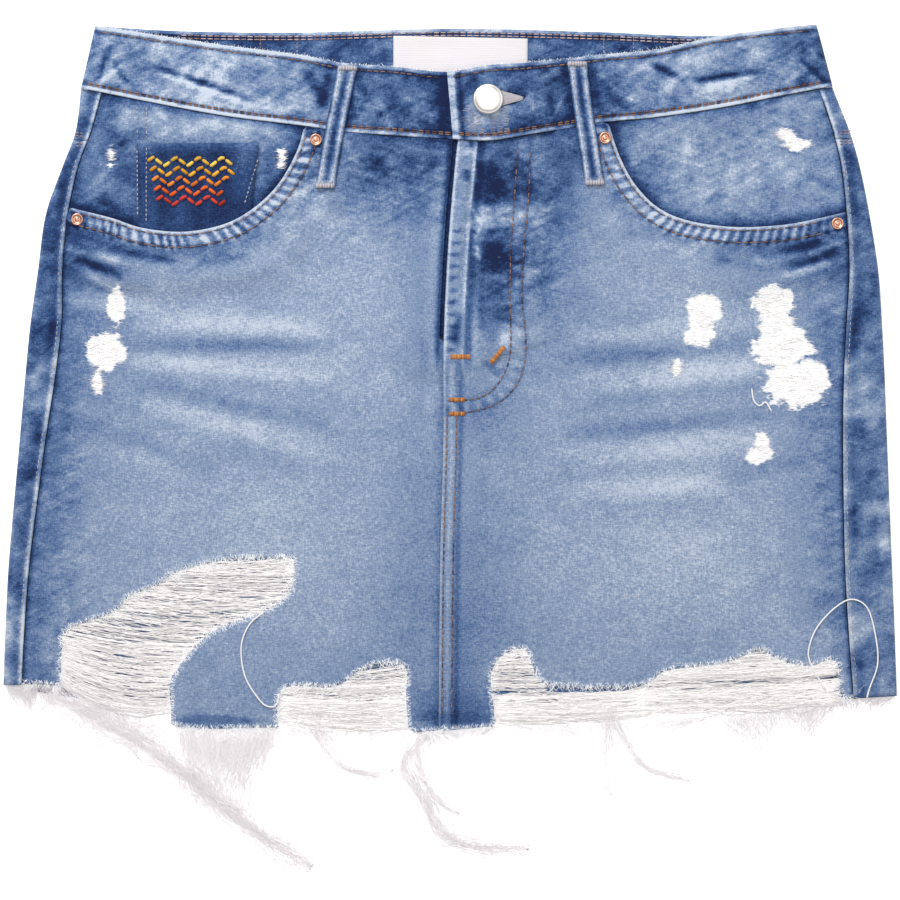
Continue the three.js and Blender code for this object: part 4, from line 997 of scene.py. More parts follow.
@dataclass(frozen=True)
class WornMetal(Finish):
    """Pressed metal trim, plated and rubbed by wear: bright and dull in fine patches."""

    bright: str
    dull: str
    roughness: float
    scratch: float = 0.5

    def dress(self, tree: bpy.types.NodeTree, place: Socket) -> dict[str, object]:
        """Builds the fine scratches and the dulled patches."""
        links = {"Vector": place, "Scale": 1000 / self.scratch / 2, "Detail": 3.0}
        noise = add_node(tree, "TexNoise", links, "Fac")
        shades = {"Factor": noise, 6: linear(self.bright), 7: linear(self.dull)}
        gloss = {"Value": noise, "To Min": self.roughness * 0.8, "To Max": self.roughness * 1.3}
        return {
            "Base Color": add_node(tree, "Mix", shades, 2, data_type="RGBA"),
            "Roughness": add_node(tree, "MapRange", gloss),
            "Normal": add_node(tree, "Bump", {"Height": noise, "Distance": 0.00005, "Strength": 0.3}),
            "Metallic": 1.0,
        }


# Shapes of the front's pieces
def panel_top(x: Array) -> Array:
    """Returns the y of a front piece's upper edge."""
    return waist_seam(x) - SEAM_GAP


def panel_outline(side: Side) -> Array:
    """Returns a front panel's outline, with its pocket mouth and rips cut away."""
    left, step, hem_end = side is Side.LEFT, 3.0, -156.0

    def stretch(start: float, end: float, turn: int, y_of: Curve = front_hem) -> Array:
        """Returns a stretch of a line across the panel, the hem unless another is given."""
        x = np.arange(start, end, step * turn)
        return plan(x, y_of(x))

    def above_hem(rip: Array) -> Array:
        """Returns the part of a rip's edge that lies above the hem."""
        return rip[rip[:, 1] > front_hem(rip[:, 0])]

    def edge(y: Array) -> Array:
        """Returns the x of the left panel's edge, which steps out under the right panel below the slit."""
        return fly_edge(y) + lerp(SEAM_OVERLAP, -SLIT_WIDTH, smoothstep(y, SLIT_END - SLIT_BEND, SLIT_END))

    line = MOUTHS[side]
    inside = (line[:, 0] - side_x(side, line[:, 1])) * side.sign < 0
    mouth = line[(line[:, 1] < panel_top(line[:, 0])) & inside]
    down = np.arange(mouth[-1, 1] - 2, front_hem(-236 if left else 222) + 1, -step)
    up = np.arange(-155, 166, step)
    waist = stretch(1.6 if left else 4.4, line[0, 0], side.sign, panel_top)
    parts = [waist, mouth, plan(side_x(side, down), down)]
    if left:
        rip_up = np.linspace(front_hem(-216) - 0.5, LEFT_RIP_TOP, 46)
        rip_down = np.linspace(LEFT_RIP_TOP, front_hem(-155) + 0.5, 46)
        parts += [stretch(-234.5, -216.5, 1), plan(LEFT_RIP.read("left", rip_up), rip_up)]
        parts += [plan(LEFT_RIP.read("right", rip_down), rip_down), stretch(-152, -94.5, 1)]
        parts += [above_hem(smooth_line(CENTRE_RIP, 60)), stretch(-20, edge(hem_end) - 1, 1)]
        parts.append(plan(edge(up), up))
    else:
        parts += [stretch(221.5, 216, -1), above_hem(smooth_line(RIGHT_RIP, 110)[::-1])]
        parts += [stretch(24, float(fly_edge(hem_end)) + 1, -1), plan(fly_edge(up), up)]
    return np.vstack(parts)


def side_seam_line(side: Side) -> Array:
    """Returns the side seam from the waist down."""
    y = np.arange(196, -138, -4.0)
    return plan(side_x(side, y), y)


def fly_line() -> Array:
    """Returns the fly's edge and the centre seam from the waist down."""
    y = np.arange(170, -156, -4.0)
    return plan(fly_edge(y), y)


FLY_STRIP = SewnEdge(
    "fly strip", fly_line(), (9.6,), 11.4, lip=0.5, pitch=8.0, roping=0.12, contrast=0.1, wear=0.12, sign=1
)


def fly_share(y: Array) -> Array:
    """Returns 1 along the open fly and 0 along the centre seam below it."""
    return smoothstep(y, 40, 56)


def panel_relief(side: Side, x: Array, y: Array) -> Array:
    """Returns the creases and sewn edges of a front panel."""
    rise = relief_of(x, y) + POCKET_EDGES[side].relief(x, y)
    if side is Side.LEFT:
        return rise
    away, _ = beside(fly_line(), x, y)
    seam = 0.5 * fade_beyond(np.abs(away - 4), 3.6, 1.4) - bells(away, (0.3, 1.8, 0.7), (0.3, 7.2, 0.7))
    rise = rise + FLY_STRIP.relief(x, y) * fly_share(y) + (1 - fly_share(y)) * seam
    for line in (FLY_CURVE_OUTER, FLY_CURVE_INNER):
        rise = rise - 0.25 * bell(beside(line, x, y)[0], 0.9)
    away, run = beside(FLY_CURVE_OUTER, x, y)
    return rise + 0.2 * np.sin(run * 2 * np.pi / 6.5) * bell(np.abs(away) - 3, 3)


def panel_low(side: Side, x: Array, y: Array) -> Array:
    """Returns the height of a front panel's underside."""
    base = front_height(x, y) + panel_lift(side, x, y)
    for fold in FOLDS:
        base = base + fold[5] * ridge(x, y, fold)
    return base + panel_relief(side, x, y)


def panel_fade_and_shade(side: Side, x: Array, y: Array) -> Array:
    """Returns how pale a front panel is, from 0, navy, to 1, almost white: the wash, and painted shade under
    the band, at the seams, under the pocket edge and beside the fly.
    """
    fade = 0.74 + shade_of(x, y) + 1.5 * shade_of(x, y, WHISKERS) * (1 + 0.25 * patches(x, y, 40, 12, 31))
    fade = fade + blots_at(x, y, *FRONT_BLOTS) + uneven(x, y, (0.035, 34, 18, 32), (0.02, 9, 7, 33))
    # painted shadow under the waistband, along the waist seam
    fade = fade - bells(waist_seam(x) - y, (0.32, 0, 3), (0.12, 0, 16))
    # painted shade along the side seam, where the back's strip stands above the panel
    seam, _ = beside(side_seam_line(side), x, y)
    fade = fade - 0.36 * bell(seam, 1.7) - 0.1 * bell(np.abs(seam) - 6, 6)
    # the pocket's edge, and a painted shadow under it
    pocket = POCKET_EDGES[side]
    away, _ = pocket.place(x, y)
    under = bell(np.maximum(away - 11, 0), 9) * smoothstep(away, 8.5, 11)
    uneven_shadow = 1 + patches(x, y, 9, 14, 34 if side is Side.LEFT else 35)
    fade = fade + pocket.shade(x, y) - 0.12 * under * uneven_shadow
    edge, run = beside(fly_line(), x, y)
    on_fly = fly_share(y)
    if side is Side.LEFT:
        # a pale line, painted shade where the right panel laps over, and a painted shadow in the fly's slit
        fade = fade + 0.1 * bell(edge + 8, 3.0) * smoothstep(y, -10, 30) - 0.1 * bell(edge + 1, 3)
        return fade - 0.4 * bell(edge + 3.2, 1.5) * on_fly
    # the fly's strip, with the dark ladder of its folds between two light edges
    strip = smoothstep(edge, -1, 0.5) * (1 - smoothstep(edge, 10.6, 12.0)) * on_fly
    blobs = smoothstep(patches(run, edge, 9, 9, 36), 0.25, 0.7)
    ladder = 0.4 * smoothstep(np.sin(2 * np.pi * y / 6.6), 0.3, 0.8) * bell(edge - 4.2, 2.6) * (y < 126)
    jagged = smoothstep(patches(run, edge, 14, 30, 38), -0.4, 0.2)
    lines = 0.34 * bell(edge - 0.8, 0.9) + 0.36 * bell(edge - 10.8, 1.0) * jagged
    fade = fade + strip * (0.71 + lines - 0.5 * blobs * bell(edge - 6.5, 3.2) - ladder - fade) * 0.95
    # painted shadow beside the strip's raised outer edge, and a pale line past it
    fade = fade + bells(edge, (-0.4, 13.4, 2.0), (0.14, 17.5, 1.2)) * on_fly
    # the centre seam below the fly: a pale raised fell, stitch rows darkened partly as painted shade, and
    # painted shade where the fell falls away on its right
    centre = ((0.16, 0.3, 1.0), (0.12, 4.4, 1.6), (-0.22, 9.6, 1.6), (-0.12, 2.0, 0.8), (-0.12, 7.2, 0.8))
    fade = fade + (1 - on_fly) * bells(edge, *centre)
    # the fly's stitched curves darkened, partly kept dye and partly painted shade, with puckers along the outer
    # one
    fade = fade - 0.12 * bell(beside(FLY_CURVE_INNER, x, y)[0], 1.0)
    away, run = beside(FLY_CURVE_OUTER, x, y)
    puckers = np.sin(run * 2 * np.pi / 7.5 + 2 * patches(run, run * 0, 20, 1, 37))
    return fade - 0.18 * bell(away, 1.0) + 0.14 * puckers * bell(away + 3, 2.4)


def plain_marks(x: Array, fade: Array, mottle: float | Array, bare: float | Array = 0.0) -> dict[str, Array]:
    """Returns the three marks that the denim finish reads."""
    values = {"fade": fade, "mottle": mottle, "bare": bare}
    return {name: np.broadcast_to(value, np.shape(x)).astype(float) for name, value in values.items()}


def dressed(
    piece: Piece, nodes: tuple[str, ...] = (), flat: tuple[float, float] | None = None,
    area: float | None = None,
) -> Piece:
    """Attaches a piece to the root, hides the solids that it stands for and logs its name and face count.

    Args:
        piece: the object.
        nodes: the solids that it stands for.
        flat: a cloth's cut size in millimetres; not used.
        area: a cloth's cut area in square millimetres; not used.
    Returns:
        The same object.
    """
    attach(piece, "root")
    if nodes:
        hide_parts(*nodes)
    if flat:
        area = area * MM * MM if area else None
    logging.info("%s: %d faces", piece.name, len(piece.data.polygons))
    return piece


def size_of(outline: Array) -> tuple[float, float]:
    """Returns the width and height of an outline's box."""
    return float(np.ptp(outline[:, 0])), float(np.ptp(outline[:, 1]))


@dataclass
class FrontPanel:
    """One half of the front, with its pocket mouth, sewn edges, wash and rips."""

    side: Side
    spacing: float = 2.0
    # distances from each sewn edge that get points of their own
    pocket_rows: tuple[float, ...] = (0.7, 1.4, 2.1, 2.9, 4.0, 5.2, 6.4, 7.4, 8.2, 8.9, 9.7, 10.8)
    side_rows: tuple[float, ...] = (0.9, 1.9)
    strip_rows: tuple[float, ...] = (0.8, 1.8, 2.7, 4.4, 6.2, 7.2, 8.2, 9.2, 10.0, 10.9, 11.7, 12.6)
    curve_rows: tuple[float, ...] = (-1.0, 0.0, 1.0)
    slit_rows: tuple[float, ...] = (-3.4, -4.6, -6.0)

    def guides(self) -> list[Array]:
        """Returns the lines that need points of their own."""
        edge = POCKET_EDGES[self.side]
        lines = [moved(edge.line, edge.sign * row) for row in self.pocket_rows]
        lines += [moved(side_seam_line(self.side), -self.side.sign * row) for row in self.side_rows]
        if self.side is Side.LEFT:
            return lines + [moved(fly_line(), row) for row in self.slit_rows]
        lines += [moved(fly_line(), row) for row in self.strip_rows]
        curves = (FLY_CURVE_OUTER, FLY_CURVE_INNER)
        return lines + [moved(line, row) for line in curves for row in self.curve_rows]

    def build(self, denim: Material) -> Piece:
        """Cuts, shapes and dresses the panel."""
        outline = panel_outline(self.side)
        flat, faces = cut(outline, self.spacing, self.guides())
        x, y = flat.T
        low, bare = panel_low(self.side, x, y), bare_at(x, y)
        swell = 0.2 * bare * (1 + 0.5 * patches(x, y, 5.0, 1.6, 41))
        from_lip = np.abs(POCKET_EDGES[self.side].place(x, y)[0] - 12)
        mottle = 0.06 + blots_at(x, y, (38, 115, 26, 48, 0.5), (-44, 150, 56, 32, 0.4))
        mottle = mottle + 0.3 * fade_beyond(from_lip, 6, 8)
        mottle = mottle + 0.24 * smoothstep(np.abs(x), 185, 215) + 0.16 * bell(waist_seam(x) - y, 22)
        marks = plain_marks(x, panel_fade_and_shade(self.side, x, y), mottle, bare)
        cloth = shell(flat, faces, low + DENIM + swell, low, marks)
        node = "front_" + self.side.value
        piece = cloth.made(node + "_cloth", denim)
        return dressed(piece, (node,), (262, 362), area_of(outline))


def facing_top(x: Array, y: Array) -> Array:
    """Returns the height of the pocket facings' face."""
    return front_height(x, y) + DENIM + 0.7 * relief_of(x, y)


@dataclass
class PocketFacing:
    """The side of the skirt that shows behind a pocket mouth."""

    side: Side
    spacing: float = 2.4
    step: float = 3.0

    def outline(self) -> Array:
        """Returns the facing's outline, tucked under the panel at the mouth."""
        sign = self.side.sign
        tucked = moved(MOUTHS[self.side], -sign * FACING_TUCK)
        tucked = tucked[tucked[:, 1] < panel_top(tucked[:, 0]) - 1]
        tucked = tucked[(tucked[:, 0] - side_x(self.side, tucked[:, 1])) * sign < -1]
        up = np.arange(tucked[-1, 1] + 2, 194, self.step)
        across = np.arange(side_x(self.side, up[-1]), tucked[0, 0], -sign * self.step)
        return np.vstack([tucked, plan(side_x(self.side, up), up), plan(across, panel_top(across))])

    def build(self, denim: Material) -> Piece:
        """Cuts, shapes and dresses the facing."""
        outline = self.outline()
        seam_line = side_seam_line(self.side)
        flat, faces = cut(outline, self.spacing, [moved(seam_line, -self.side.sign * 1.2)])
        x, y = flat.T
        fade = 0.66 + shade_of(x, y) + uneven(x, y, (0.07, 15, 22, 51), (0.05, 6, 8, 52))
        # painted shadow under the band and along the side seam, and painted shade under the pocket's edge
        fade = fade - 0.3 * bell(waist_seam(x) - y, 3.2) - 0.2 * bell(beside(seam_line, x, y)[0], 2.0)
        fade = fade - bells(beside(MOUTHS[self.side], x, y)[0], (0.42, 0, 4), (0.1, 0, 16))
        if self.side is Side.LEFT:
            light = ((-130, 178, 52, 8, 0.28), (-191, 140, 10, 16, 0.24), (-180, 185, 6, 10, 0.3))
            fade = fade - 0.12 + blots_at(x, y, (-186, 150, 14, 40, -0.22), *light)
        else:
            fade = fade + blots_at(x, y, (150, 150, 40, 24, 0.08))
        bare, top = bare_at(x, y), facing_top(x, y)
        cloth = shell(flat, faces, top + 0.2 * bare, top - DENIM, plain_marks(x, fade, 0.35, bare))
        node, rests = "pocket_facing_" + self.side.value, ("back_" + self.side.value,)
        piece = cloth.made(node + "_cloth", denim)
        return dressed(piece, (node,), size_of(outline), area_of(outline))


@dataclass
class CoinPocket:
    """The dark patch of the small pocket that shows in the left pocket mouth."""

    spacing: float = 2.2

    def top(self, x: Array, y: Array) -> Array:
        """Returns the height of its face."""
        return front_height(x, y) + LAYER + DENIM + 0.5 * relief_of(x, y)

    def build(self, denim: Material) -> Piece:
        """Cuts, shapes and dresses the patch."""
        outline = even(np.vstack([COIN_CORNERS, COIN_CORNERS[:1]]), 3.0)[:-1]
        flat, faces = cut(outline, self.spacing, [])
        x, y = flat.T
        high = self.top(x, y)
        fade = 0.13 + shade_of(x, y) + uneven(x, y, (0.09, 5, 26, 61), (0.05, 22, 9, 62))
        fade = fade + 0.18 * bell(169 - y, 4)
        fade = fade + blots_at(x, y, (-112, 160, 7, 22, 0.16)) + 0.1 * bell(x + 170.5, 3.0)
        cloth = shell(flat, faces, high, high - DENIM, plain_marks(x, fade, 0.12))
        piece = cloth.made("coin_pocket_cloth", denim)
        return dressed(piece, ("coin_pocket",), size_of(outline), area_of(outline))


@dataclass
class FlyShield:
    """The dark strip behind the open fly."""

    spacing: float = 2.6
    step: float = 3.0
    top: float = 166.0

    def build(self, denim: Material) -> Piece:
        """Cuts, shapes and dresses the strip."""
        across = np.arange(float(fly_edge(self.top)) - SHIELD_TUCK, SHIELD_RIGHT, self.step)
        up = np.arange(SHIELD_END, self.top, self.step)
        corner = [(SHIELD_RIGHT, SHIELD_END + SHIELD_CORNER), (SHIELD_RIGHT - SHIELD_CORNER, SHIELD_END)]
        outline = np.vstack([plan(across, panel_top(across)), corner, plan(fly_edge(up) - SHIELD_TUCK, up)])
        flat, faces = cut(outline, self.spacing, [])
        x, y = flat.T
        low = front_height(x, y)
        cloth = shell(flat, faces, low + DENIM, low, plain_marks(x, 0.06, 0.05))
        piece, rests = cloth.made("fly_shield_cloth", denim), ("back_left", "back_right")
        return dressed(piece, ("fly_shield",), (48, 112), area_of(outline))


def side_relief(side: Side, x: Array, y: Array) -> Array:
    """Returns what the side seam's folded allowances and small creases add to the side strip."""
    seam, run = beside(side_seam_line(side), x, y)
    away = np.abs(seam)
    rope = np.sin(2 * np.pi * run / 6.3 + 3 * patches(run, run * 0, 23, 1, 71))
    lift = 0.75 * bell(away - 1.2, 1.5) + 0.2 * rope * bell(away - 2, 3)
    return np.maximum(lift + uneven(x, y, (0.3, 7, 11, 72), (0.15, 3, 5, 73)), -0.15)


def side_top(x: Array, y: Array) -> Array:
    """Returns the height of the side strips' upper face."""
    x, y = np.asarray(x, float), np.asarray(y, float)
    relief = np.where(x < 0, side_relief(Side.LEFT, x, y), side_relief(Side.RIGHT, x, y))
    return DENIM + 2 * SIDE_FOLD_RADIUS + relief


def over_all(x: Array, y: Array) -> Array:
    """Returns the height of whatever is uppermost, side strips included."""
    beyond = (x < side_x(Side.LEFT, y)) | (x > side_x(Side.RIGHT, y))
    return np.where(beyond, side_top(x, y), front_top(x, y))


def yoke_seam(x: Array) -> Array:
    """Returns the y of the back's yoke seam."""
    return lerp(150.0, 171.5, np.clip(np.abs(x) / BAND_SEAM_RIGHT, 0, 1))


def back_seam(x: Array) -> Array:
    """Returns the y of the back's waist seam."""
    return lerp(199.5, 200.8, (x - BAND_SEAM_LEFT) / (BAND_SEAM_RIGHT - BAND_SEAM_LEFT))


@dataclass
class BackHalf:
    """One half of the back: a yoke or the panel below it, wrapped round the side fold to the side seam."""

    side: Side
    upper: bool
    under_steps: int = 40
    turn_steps: int = 12
    over_steps: int = 9
    seam_shift: float = 0.55

    def place(self, kind: str, station: float, y: Array, face: int) -> tuple[Array, Array]:
        """Returns x and z of the back's section at a station, on its outer or inner face."""
        sign = self.side.sign
        middle = DENIM / 2 + SIDE_FOLD_RADIUS
        turn_x = side_x(self.side, y, "fold") - sign * middle
        reach = SIDE_FOLD_RADIUS + face * DENIM / 2
        if kind == "under":
            return lerp(sign * SEAM_GAP / 2, turn_x, station), np.full(np.shape(y), middle - reach)
        if kind == "over":
            seam = side_x(self.side, y) + sign * self.seam_shift
            return lerp(turn_x, seam, station), np.full(np.shape(y), middle + reach)
        return turn_x + sign * reach * math.cos(station), middle + reach * np.sin(station) + 0 * y

    def ends(self, x: Array, in_front: bool) -> tuple[Array, Array]:
        """Returns the y of the upper and lower edge at each x."""
        if self.upper:
            return (waist_seam(x) if in_front else back_seam(x)) - SEAM_GAP, yoke_seam(x)
        return yoke_seam(x) - SEAM_GAP, front_hem(x) if in_front else HEMS.read("back", x)

    def strip_fade(self, x: Array, y: Array) -> Array:
        """Returns how pale the wash leaves the strip that shows beside the side seam."""
        seam, run = beside(side_seam_line(self.side), x, y)
        away = np.abs(seam)
        bars = smoothstep(patches(run, away, 11, 30, 78), 0.25, 0.6)
        fade = 0.4 + bells(away, (0.42, 1.4, 1.3), (-0.16, 5, 2.6)) + 0.22 * bars
        fade = fade + uneven(x, y, (0.16, 5, 13, 74), (0.1, 4, 5, 75))
        fade = fade + 0.2 * smoothstep(-y, -40, 130) - 0.12 * bell(y - 160, 34)
        fade = fade + 0.34 * bell(y - yoke_seam(x), 5.0)
        base, low, width = (-0.04, 0.08, 3) if self.side is Side.LEFT else (0.06, -0.14, 5)
        on_fold = bell(np.abs(x - side_x(self.side, y, "fold")), width)
        return fade + base + low * smoothstep(-y, 60, 120) + 0.06 * on_fold

    def build(self, denim: Material) -> Piece:
        """Shapes and dresses the half."""
        stations = [("under", share) for share in np.linspace(0, 1, self.under_steps)]
        angles = np.linspace(-np.pi / 2, np.pi / 2, self.turn_steps + 1)[1:-1]
        stations += [("turn", angle) for angle in angles]
        stations += [("over", share) for share in np.linspace(0, 1, self.over_steps)]
        shares = np.linspace(0, 1, 24 if self.upper else 130)
        columns = []
        for face in (1, -1):
            for kind, station in stations:
                in_front = kind == "over" or (kind == "turn" and station > 0)
                y = np.zeros(len(shares))
                for _ in range(3):
                    x, _z = self.place(kind, station, y, face)
                    y = lerp(*self.ends(x, in_front), shares)
                x, z = self.place(kind, station, y, face)
                if kind == "under":
                    base, layer = (0.42, (0.05, 30, 22, 76)) if face > 0 else (0.5, (0.05, 12, 20, 77))
                    columns.append((x, y, z, base + uneven(x, y, layer), np.full(len(shares), 0.2)))
                    continue
                weight = smoothstep(station, 0.2, 1.2) if kind == "turn" else 1.0
                z = z + side_relief(self.side, x, y) * weight
                columns.append((x, y, z, self.strip_fade(x, y), np.full(len(shares), 0.3)))
        node = ("yoke_" if self.upper else "back_") + self.side.value
        flat = (258.0, 54.0) if self.upper else (272.0, 320.0)
        area = 258.0 * 38 if self.upper else 262.0 * 300
        piece = sectioned(columns).made(node + "_cloth", denim)
        return dressed(piece, (node,), flat, area)


def sectioned(columns: list[tuple[Array, ...]]) -> Cloth:
    """Closes columns of x, y, z, fade and mottle, all of the outer face and then the inner, into a shell."""
    values = np.array(columns).transpose(0, 2, 1)
    outer, inner = values.reshape(2, -1, *values.shape[1:])
    marks = plain_marks(values[:, :, 0], values[:, :, 3], values[:, :, 4])
    halves = {name: value.reshape(2, -1, value.shape[1]) for name, value in marks.items()}
    return grid_shell(outer[:, :, :3], inner[:, :, :3], halves)


# How pale the wash leaves the waistband along its length
BAND_WASH = Table(
    "x fade",
    (-212, 0.5), (-190, 0.6), (-150, 0.7), (-110, 0.7), (-84, 0.58), (-62, 0.42), (-34, 0.36), (-10, 0.26),
    (4, 0.34), (22, 0.44), (40, 0.24), (62, 0.26), (84, 0.38), (110, 0.5), (140, 0.62), (170, 0.6),
    (196, 0.48), (214, 0.4),
)


@dataclass
class Waistband:
    """One long strip, from its end under the button round the left side, the back and the right side to its
    free end over the first."""

    front_steps: int = 130
    back_steps: int = 90
    turn_steps: int = 12
    # distances from each long edge that get their own row of points
    edge_rows: tuple[float, ...] = (0.0, 0.5, 1.1, 1.7, 2.3, 2.9, 3.6, 4.6, 6.0, 8.0)
    height: float = 36.0
    back_height: float = 34.0
    hole_length: float = 20.0
    hole_middle: float = 0.6
    hole_halves: tuple[float, float] = (6.6, 0.5)

    def drops(self) -> Array:
        """Returns the rows as shares of the band's height, closer at its two edges."""
        near = np.array(self.edge_rows) / self.height
        middle = np.linspace(near[-1], 1 - near[-1], 14)[1:-1]
        return np.concatenate([near, middle, 1 - near[::-1]])

    def front_relief(self, x: Array, y: Array, drop: Array) -> Array:
        """Returns the lips, stitched grooves and creases of the band's front."""
        height = WAIST.read("top", x) - waist_seam(x)
        from_top, from_seam = drop * height, (1 - drop) * height
        rope = np.sin(2 * np.pi * (x + 0.5 * from_top) / 6.1 + 2.2 * patches(x, x * 0, 19, 1, 81))
        lift = 0.45 * fade_beyond(from_top, 2.4, 1.4) + 0.45 * fade_beyond(from_seam, 2.0, 1.2)
        lift = lift - 0.35 * bell(from_top - 3.0, 0.8) - 0.35 * bell(from_seam - 2.6, 0.8)
        return lift + 0.14 * rope * (bell(from_top - 4.5, 4) + bell(from_seam - 4, 4)) + relief_of(x, y)

    def front_top(self, x: Array, y: Array, on_top: bool | Array) -> Array:
        """Returns the height of the band's front face."""
        drop = np.clip((WAIST.read("top", x) - y) / (WAIST.read("top", x) - waist_seam(x)), 0, 1)
        return band_underside(x, drop, on_top) + BAND + self.front_relief(x, y, drop)

    def fade(self, x: Array, y: Array, drop: Array) -> Array:
        """Returns how pale the band's front is: the wash, with painted shadow beside the belt loops and stitch
        grooves darkened partly as painted shade.
        """
        height = WAIST.read("top", x) - waist_seam(x)
        from_top, from_seam = drop * height, (1 - drop) * height
        fade = BAND_WASH.read("fade", x) + 0.06 + 1.4 * shade_of(x, y)
        fade = fade + 0.14 * patches(x - 0.9 * y, y + 0.5 * x, 5, 17, 87)
        fade = fade + uneven(x, y, (0.1, 17, 9, 82), (0.08, 5, 5, 83))
        # pale worn lips at both edges, and the stitch grooves beside them darkened, partly kept dye and partly
        # painted shade
        fade = fade + 0.36 * fade_beyond(from_top, 1.4, 1.0) - 0.24 * bell(from_top - 3.3, 1.2)
        fade = fade + 0.4 * fade_beyond(from_seam, 1.5, 0.8) - 0.26 * bell(from_seam - 3.2, 1.4)
        # painted shadow on the band beside each belt loop
        for loop_x in (-62.0, 74.0):
            fade = fade - 0.34 * bell(np.abs(x - loop_x + (y - 195) * 0.19 * np.sign(x)) - 7.5, 3.0)
        fade = fade + 0.08 * fade_beyond(from_seam, 8, 6) * (np.abs(x + 120) < 90)
        fade = fade + blots_at(x, y, (BUTTON_X, 206, 10, 5, -0.12), (BUTTON_X, 183, 13, 8, 0.3))
        return fade - 0.1 * smoothstep(np.abs(x), 180, 205)

    def section(self, part: str, share: float, face: int, drops: Array) -> tuple[Array, ...]:
        """Shapes one column of points across the band.

        Args:
            part: the stretch of the band.
            share: how far along the stretch.
            face: 1 on the outer face, -1 on the inner one.
            drops: the rows.
        Returns:
            The column's x, y, height and fade.
        """
        reach = BAND_FOLD_RADIUS + face * BAND / 2
        left, right = band_turns(drops)

        def front_y(x: Array) -> Array:
            """Returns the rows' y on the front."""
            return lerp(WAIST.read("top", x), waist_seam(x), drops)

        def back_y(x: Array) -> Array:
            """Returns the rows' y on the back."""
            return lerp(BACK_TOP.read("top", x), back_seam(x), drops)

        if part == "back":
            x = lerp(left, right, share)
            y, z = back_y(x), np.full(len(drops), BAND_TURN - reach)
            from_top = drops * self.back_height
            if face < 0:
                lip = 0.35 * fade_beyond(from_top, 1.8, 1.2) - 0.25 * bell(from_top - 3.0, 0.8)
                z = z + lip + 0.12 * patches(x, y, 12, 9, 84)
            fade = 0.16 + 0.32 * bell((x + 10) / 90, 1) + uneven(x, y, (0.1, 12, 7, 85), (0.07, 4, 6, 86))
            # a pale worn lip at the top, and its stitch groove darkened, partly kept dye and partly painted
            # shade
            return x, y, z, fade + 0.45 * fade_beyond(from_top, 1.6, 0.8) - 0.25 * bell(from_top - 3.6, 1.4)
        if part.endswith("turn"):
            sign, turn = (-1, left) if part == "left turn" else (1, right)
            angle = (0.5 - share) * math.pi * -sign
            x = turn + sign * reach * math.cos(angle)
            y = front_y(x) if angle > 0 else back_y(x)
            lift = self.front_relief(x, y, drops) * smoothstep(angle, 0.0, 1.3) * (face > 0)
            return x, y, BAND_TURN + reach * math.sin(angle) + lift, self.fade(x, y, drops)
        on_top = part == "top end"
        free_end = lerp(BAND_END_TOP, BAND_END_SEAM, drops)
        x = lerp(right, free_end, share) if on_top else lerp(BAND_UNDERLAP, left, share)
        y = front_y(x)
        z = band_underside(x, drops, on_top) + BAND / 2 + face * BAND / 2
        z = z + self.front_relief(x, y, drops) * (1.0 if face > 0 else 0.3)
        fade = self.fade(x, y, drops)
        if not on_top:
            # painted shadow on the under end, beside the free end that lies over it
            return x, y, z, fade - 0.45 * bell(x + 3.0, 4.0)
        to_end, hole = x - free_end, self.hole_shape(x, y)
        lip = 0.35 * fade_beyond(to_end, 3.2, 1.2) - 0.5 * bell(to_end - 5.2, 1.1)
        # a pale worn end, and a painted shadow line beside it
        fade = fade + 0.5 * fade_beyond(to_end, 3.4, 0.9) - 0.4 * bell(to_end - 6.4, 1.6)
        # the buttonhole's sunk slot darkened as painted shade
        return x, y, z + (lip - 1.6 * hole) * (face > 0), fade - 0.6 * smoothstep(hole, 0.02, 0.4)

    def build(self, denim: Material) -> Piece:
        """Shapes and dresses the band, its ends and its buttonhole."""
        drops = self.drops()
        front = np.linspace(0, 1, self.front_steps + 1)
        turn = np.linspace(0, 1, self.turn_steps + 1)[1:-1]
        near_end = 1 - np.array([0.4, 0.8, 1.4, 2.0, 2.8]) / 200
        stretches = {
            "under end": front,
            "left turn": turn,
            "back": np.linspace(0, 1, self.back_steps + 1),
            "right turn": turn,
            "top end": np.sort(np.concatenate([front, near_end])),
        }
        columns = [
            (*self.section(part, share, face, drops), np.full(len(drops), 0.45))
            for face in (1, -1) for part, shares in stretches.items() for share in shares
        ]
        piece = sectioned(columns).made("waistband_cloth", denim)
        return dressed(piece, ("waistband",), (860, 39), 860 * 38.0)

    def hole_edge(self, x: Array) -> Array:
        """Returns half the height of the keyhole buttonhole, which opens towards the right of the button."""
        return lerp(*self.hole_halves, np.clip((x - BUTTON_X) / self.hole_length, 0, 1))

    def hole_shape(self, x: Array, y: Array) -> Array:
        """Returns 1 inside the buttonhole."""
        run = (x - BUTTON_X) / self.hole_length
        across = np.abs(y - BUTTON_Y - self.hole_middle) / self.hole_edge(x)
        ends = smoothstep(run, -0.1, 0.02) * (1 - smoothstep(run, 0.94, 1.02))
        return (1 - smoothstep(across, 0.75, 1.15)) * ends


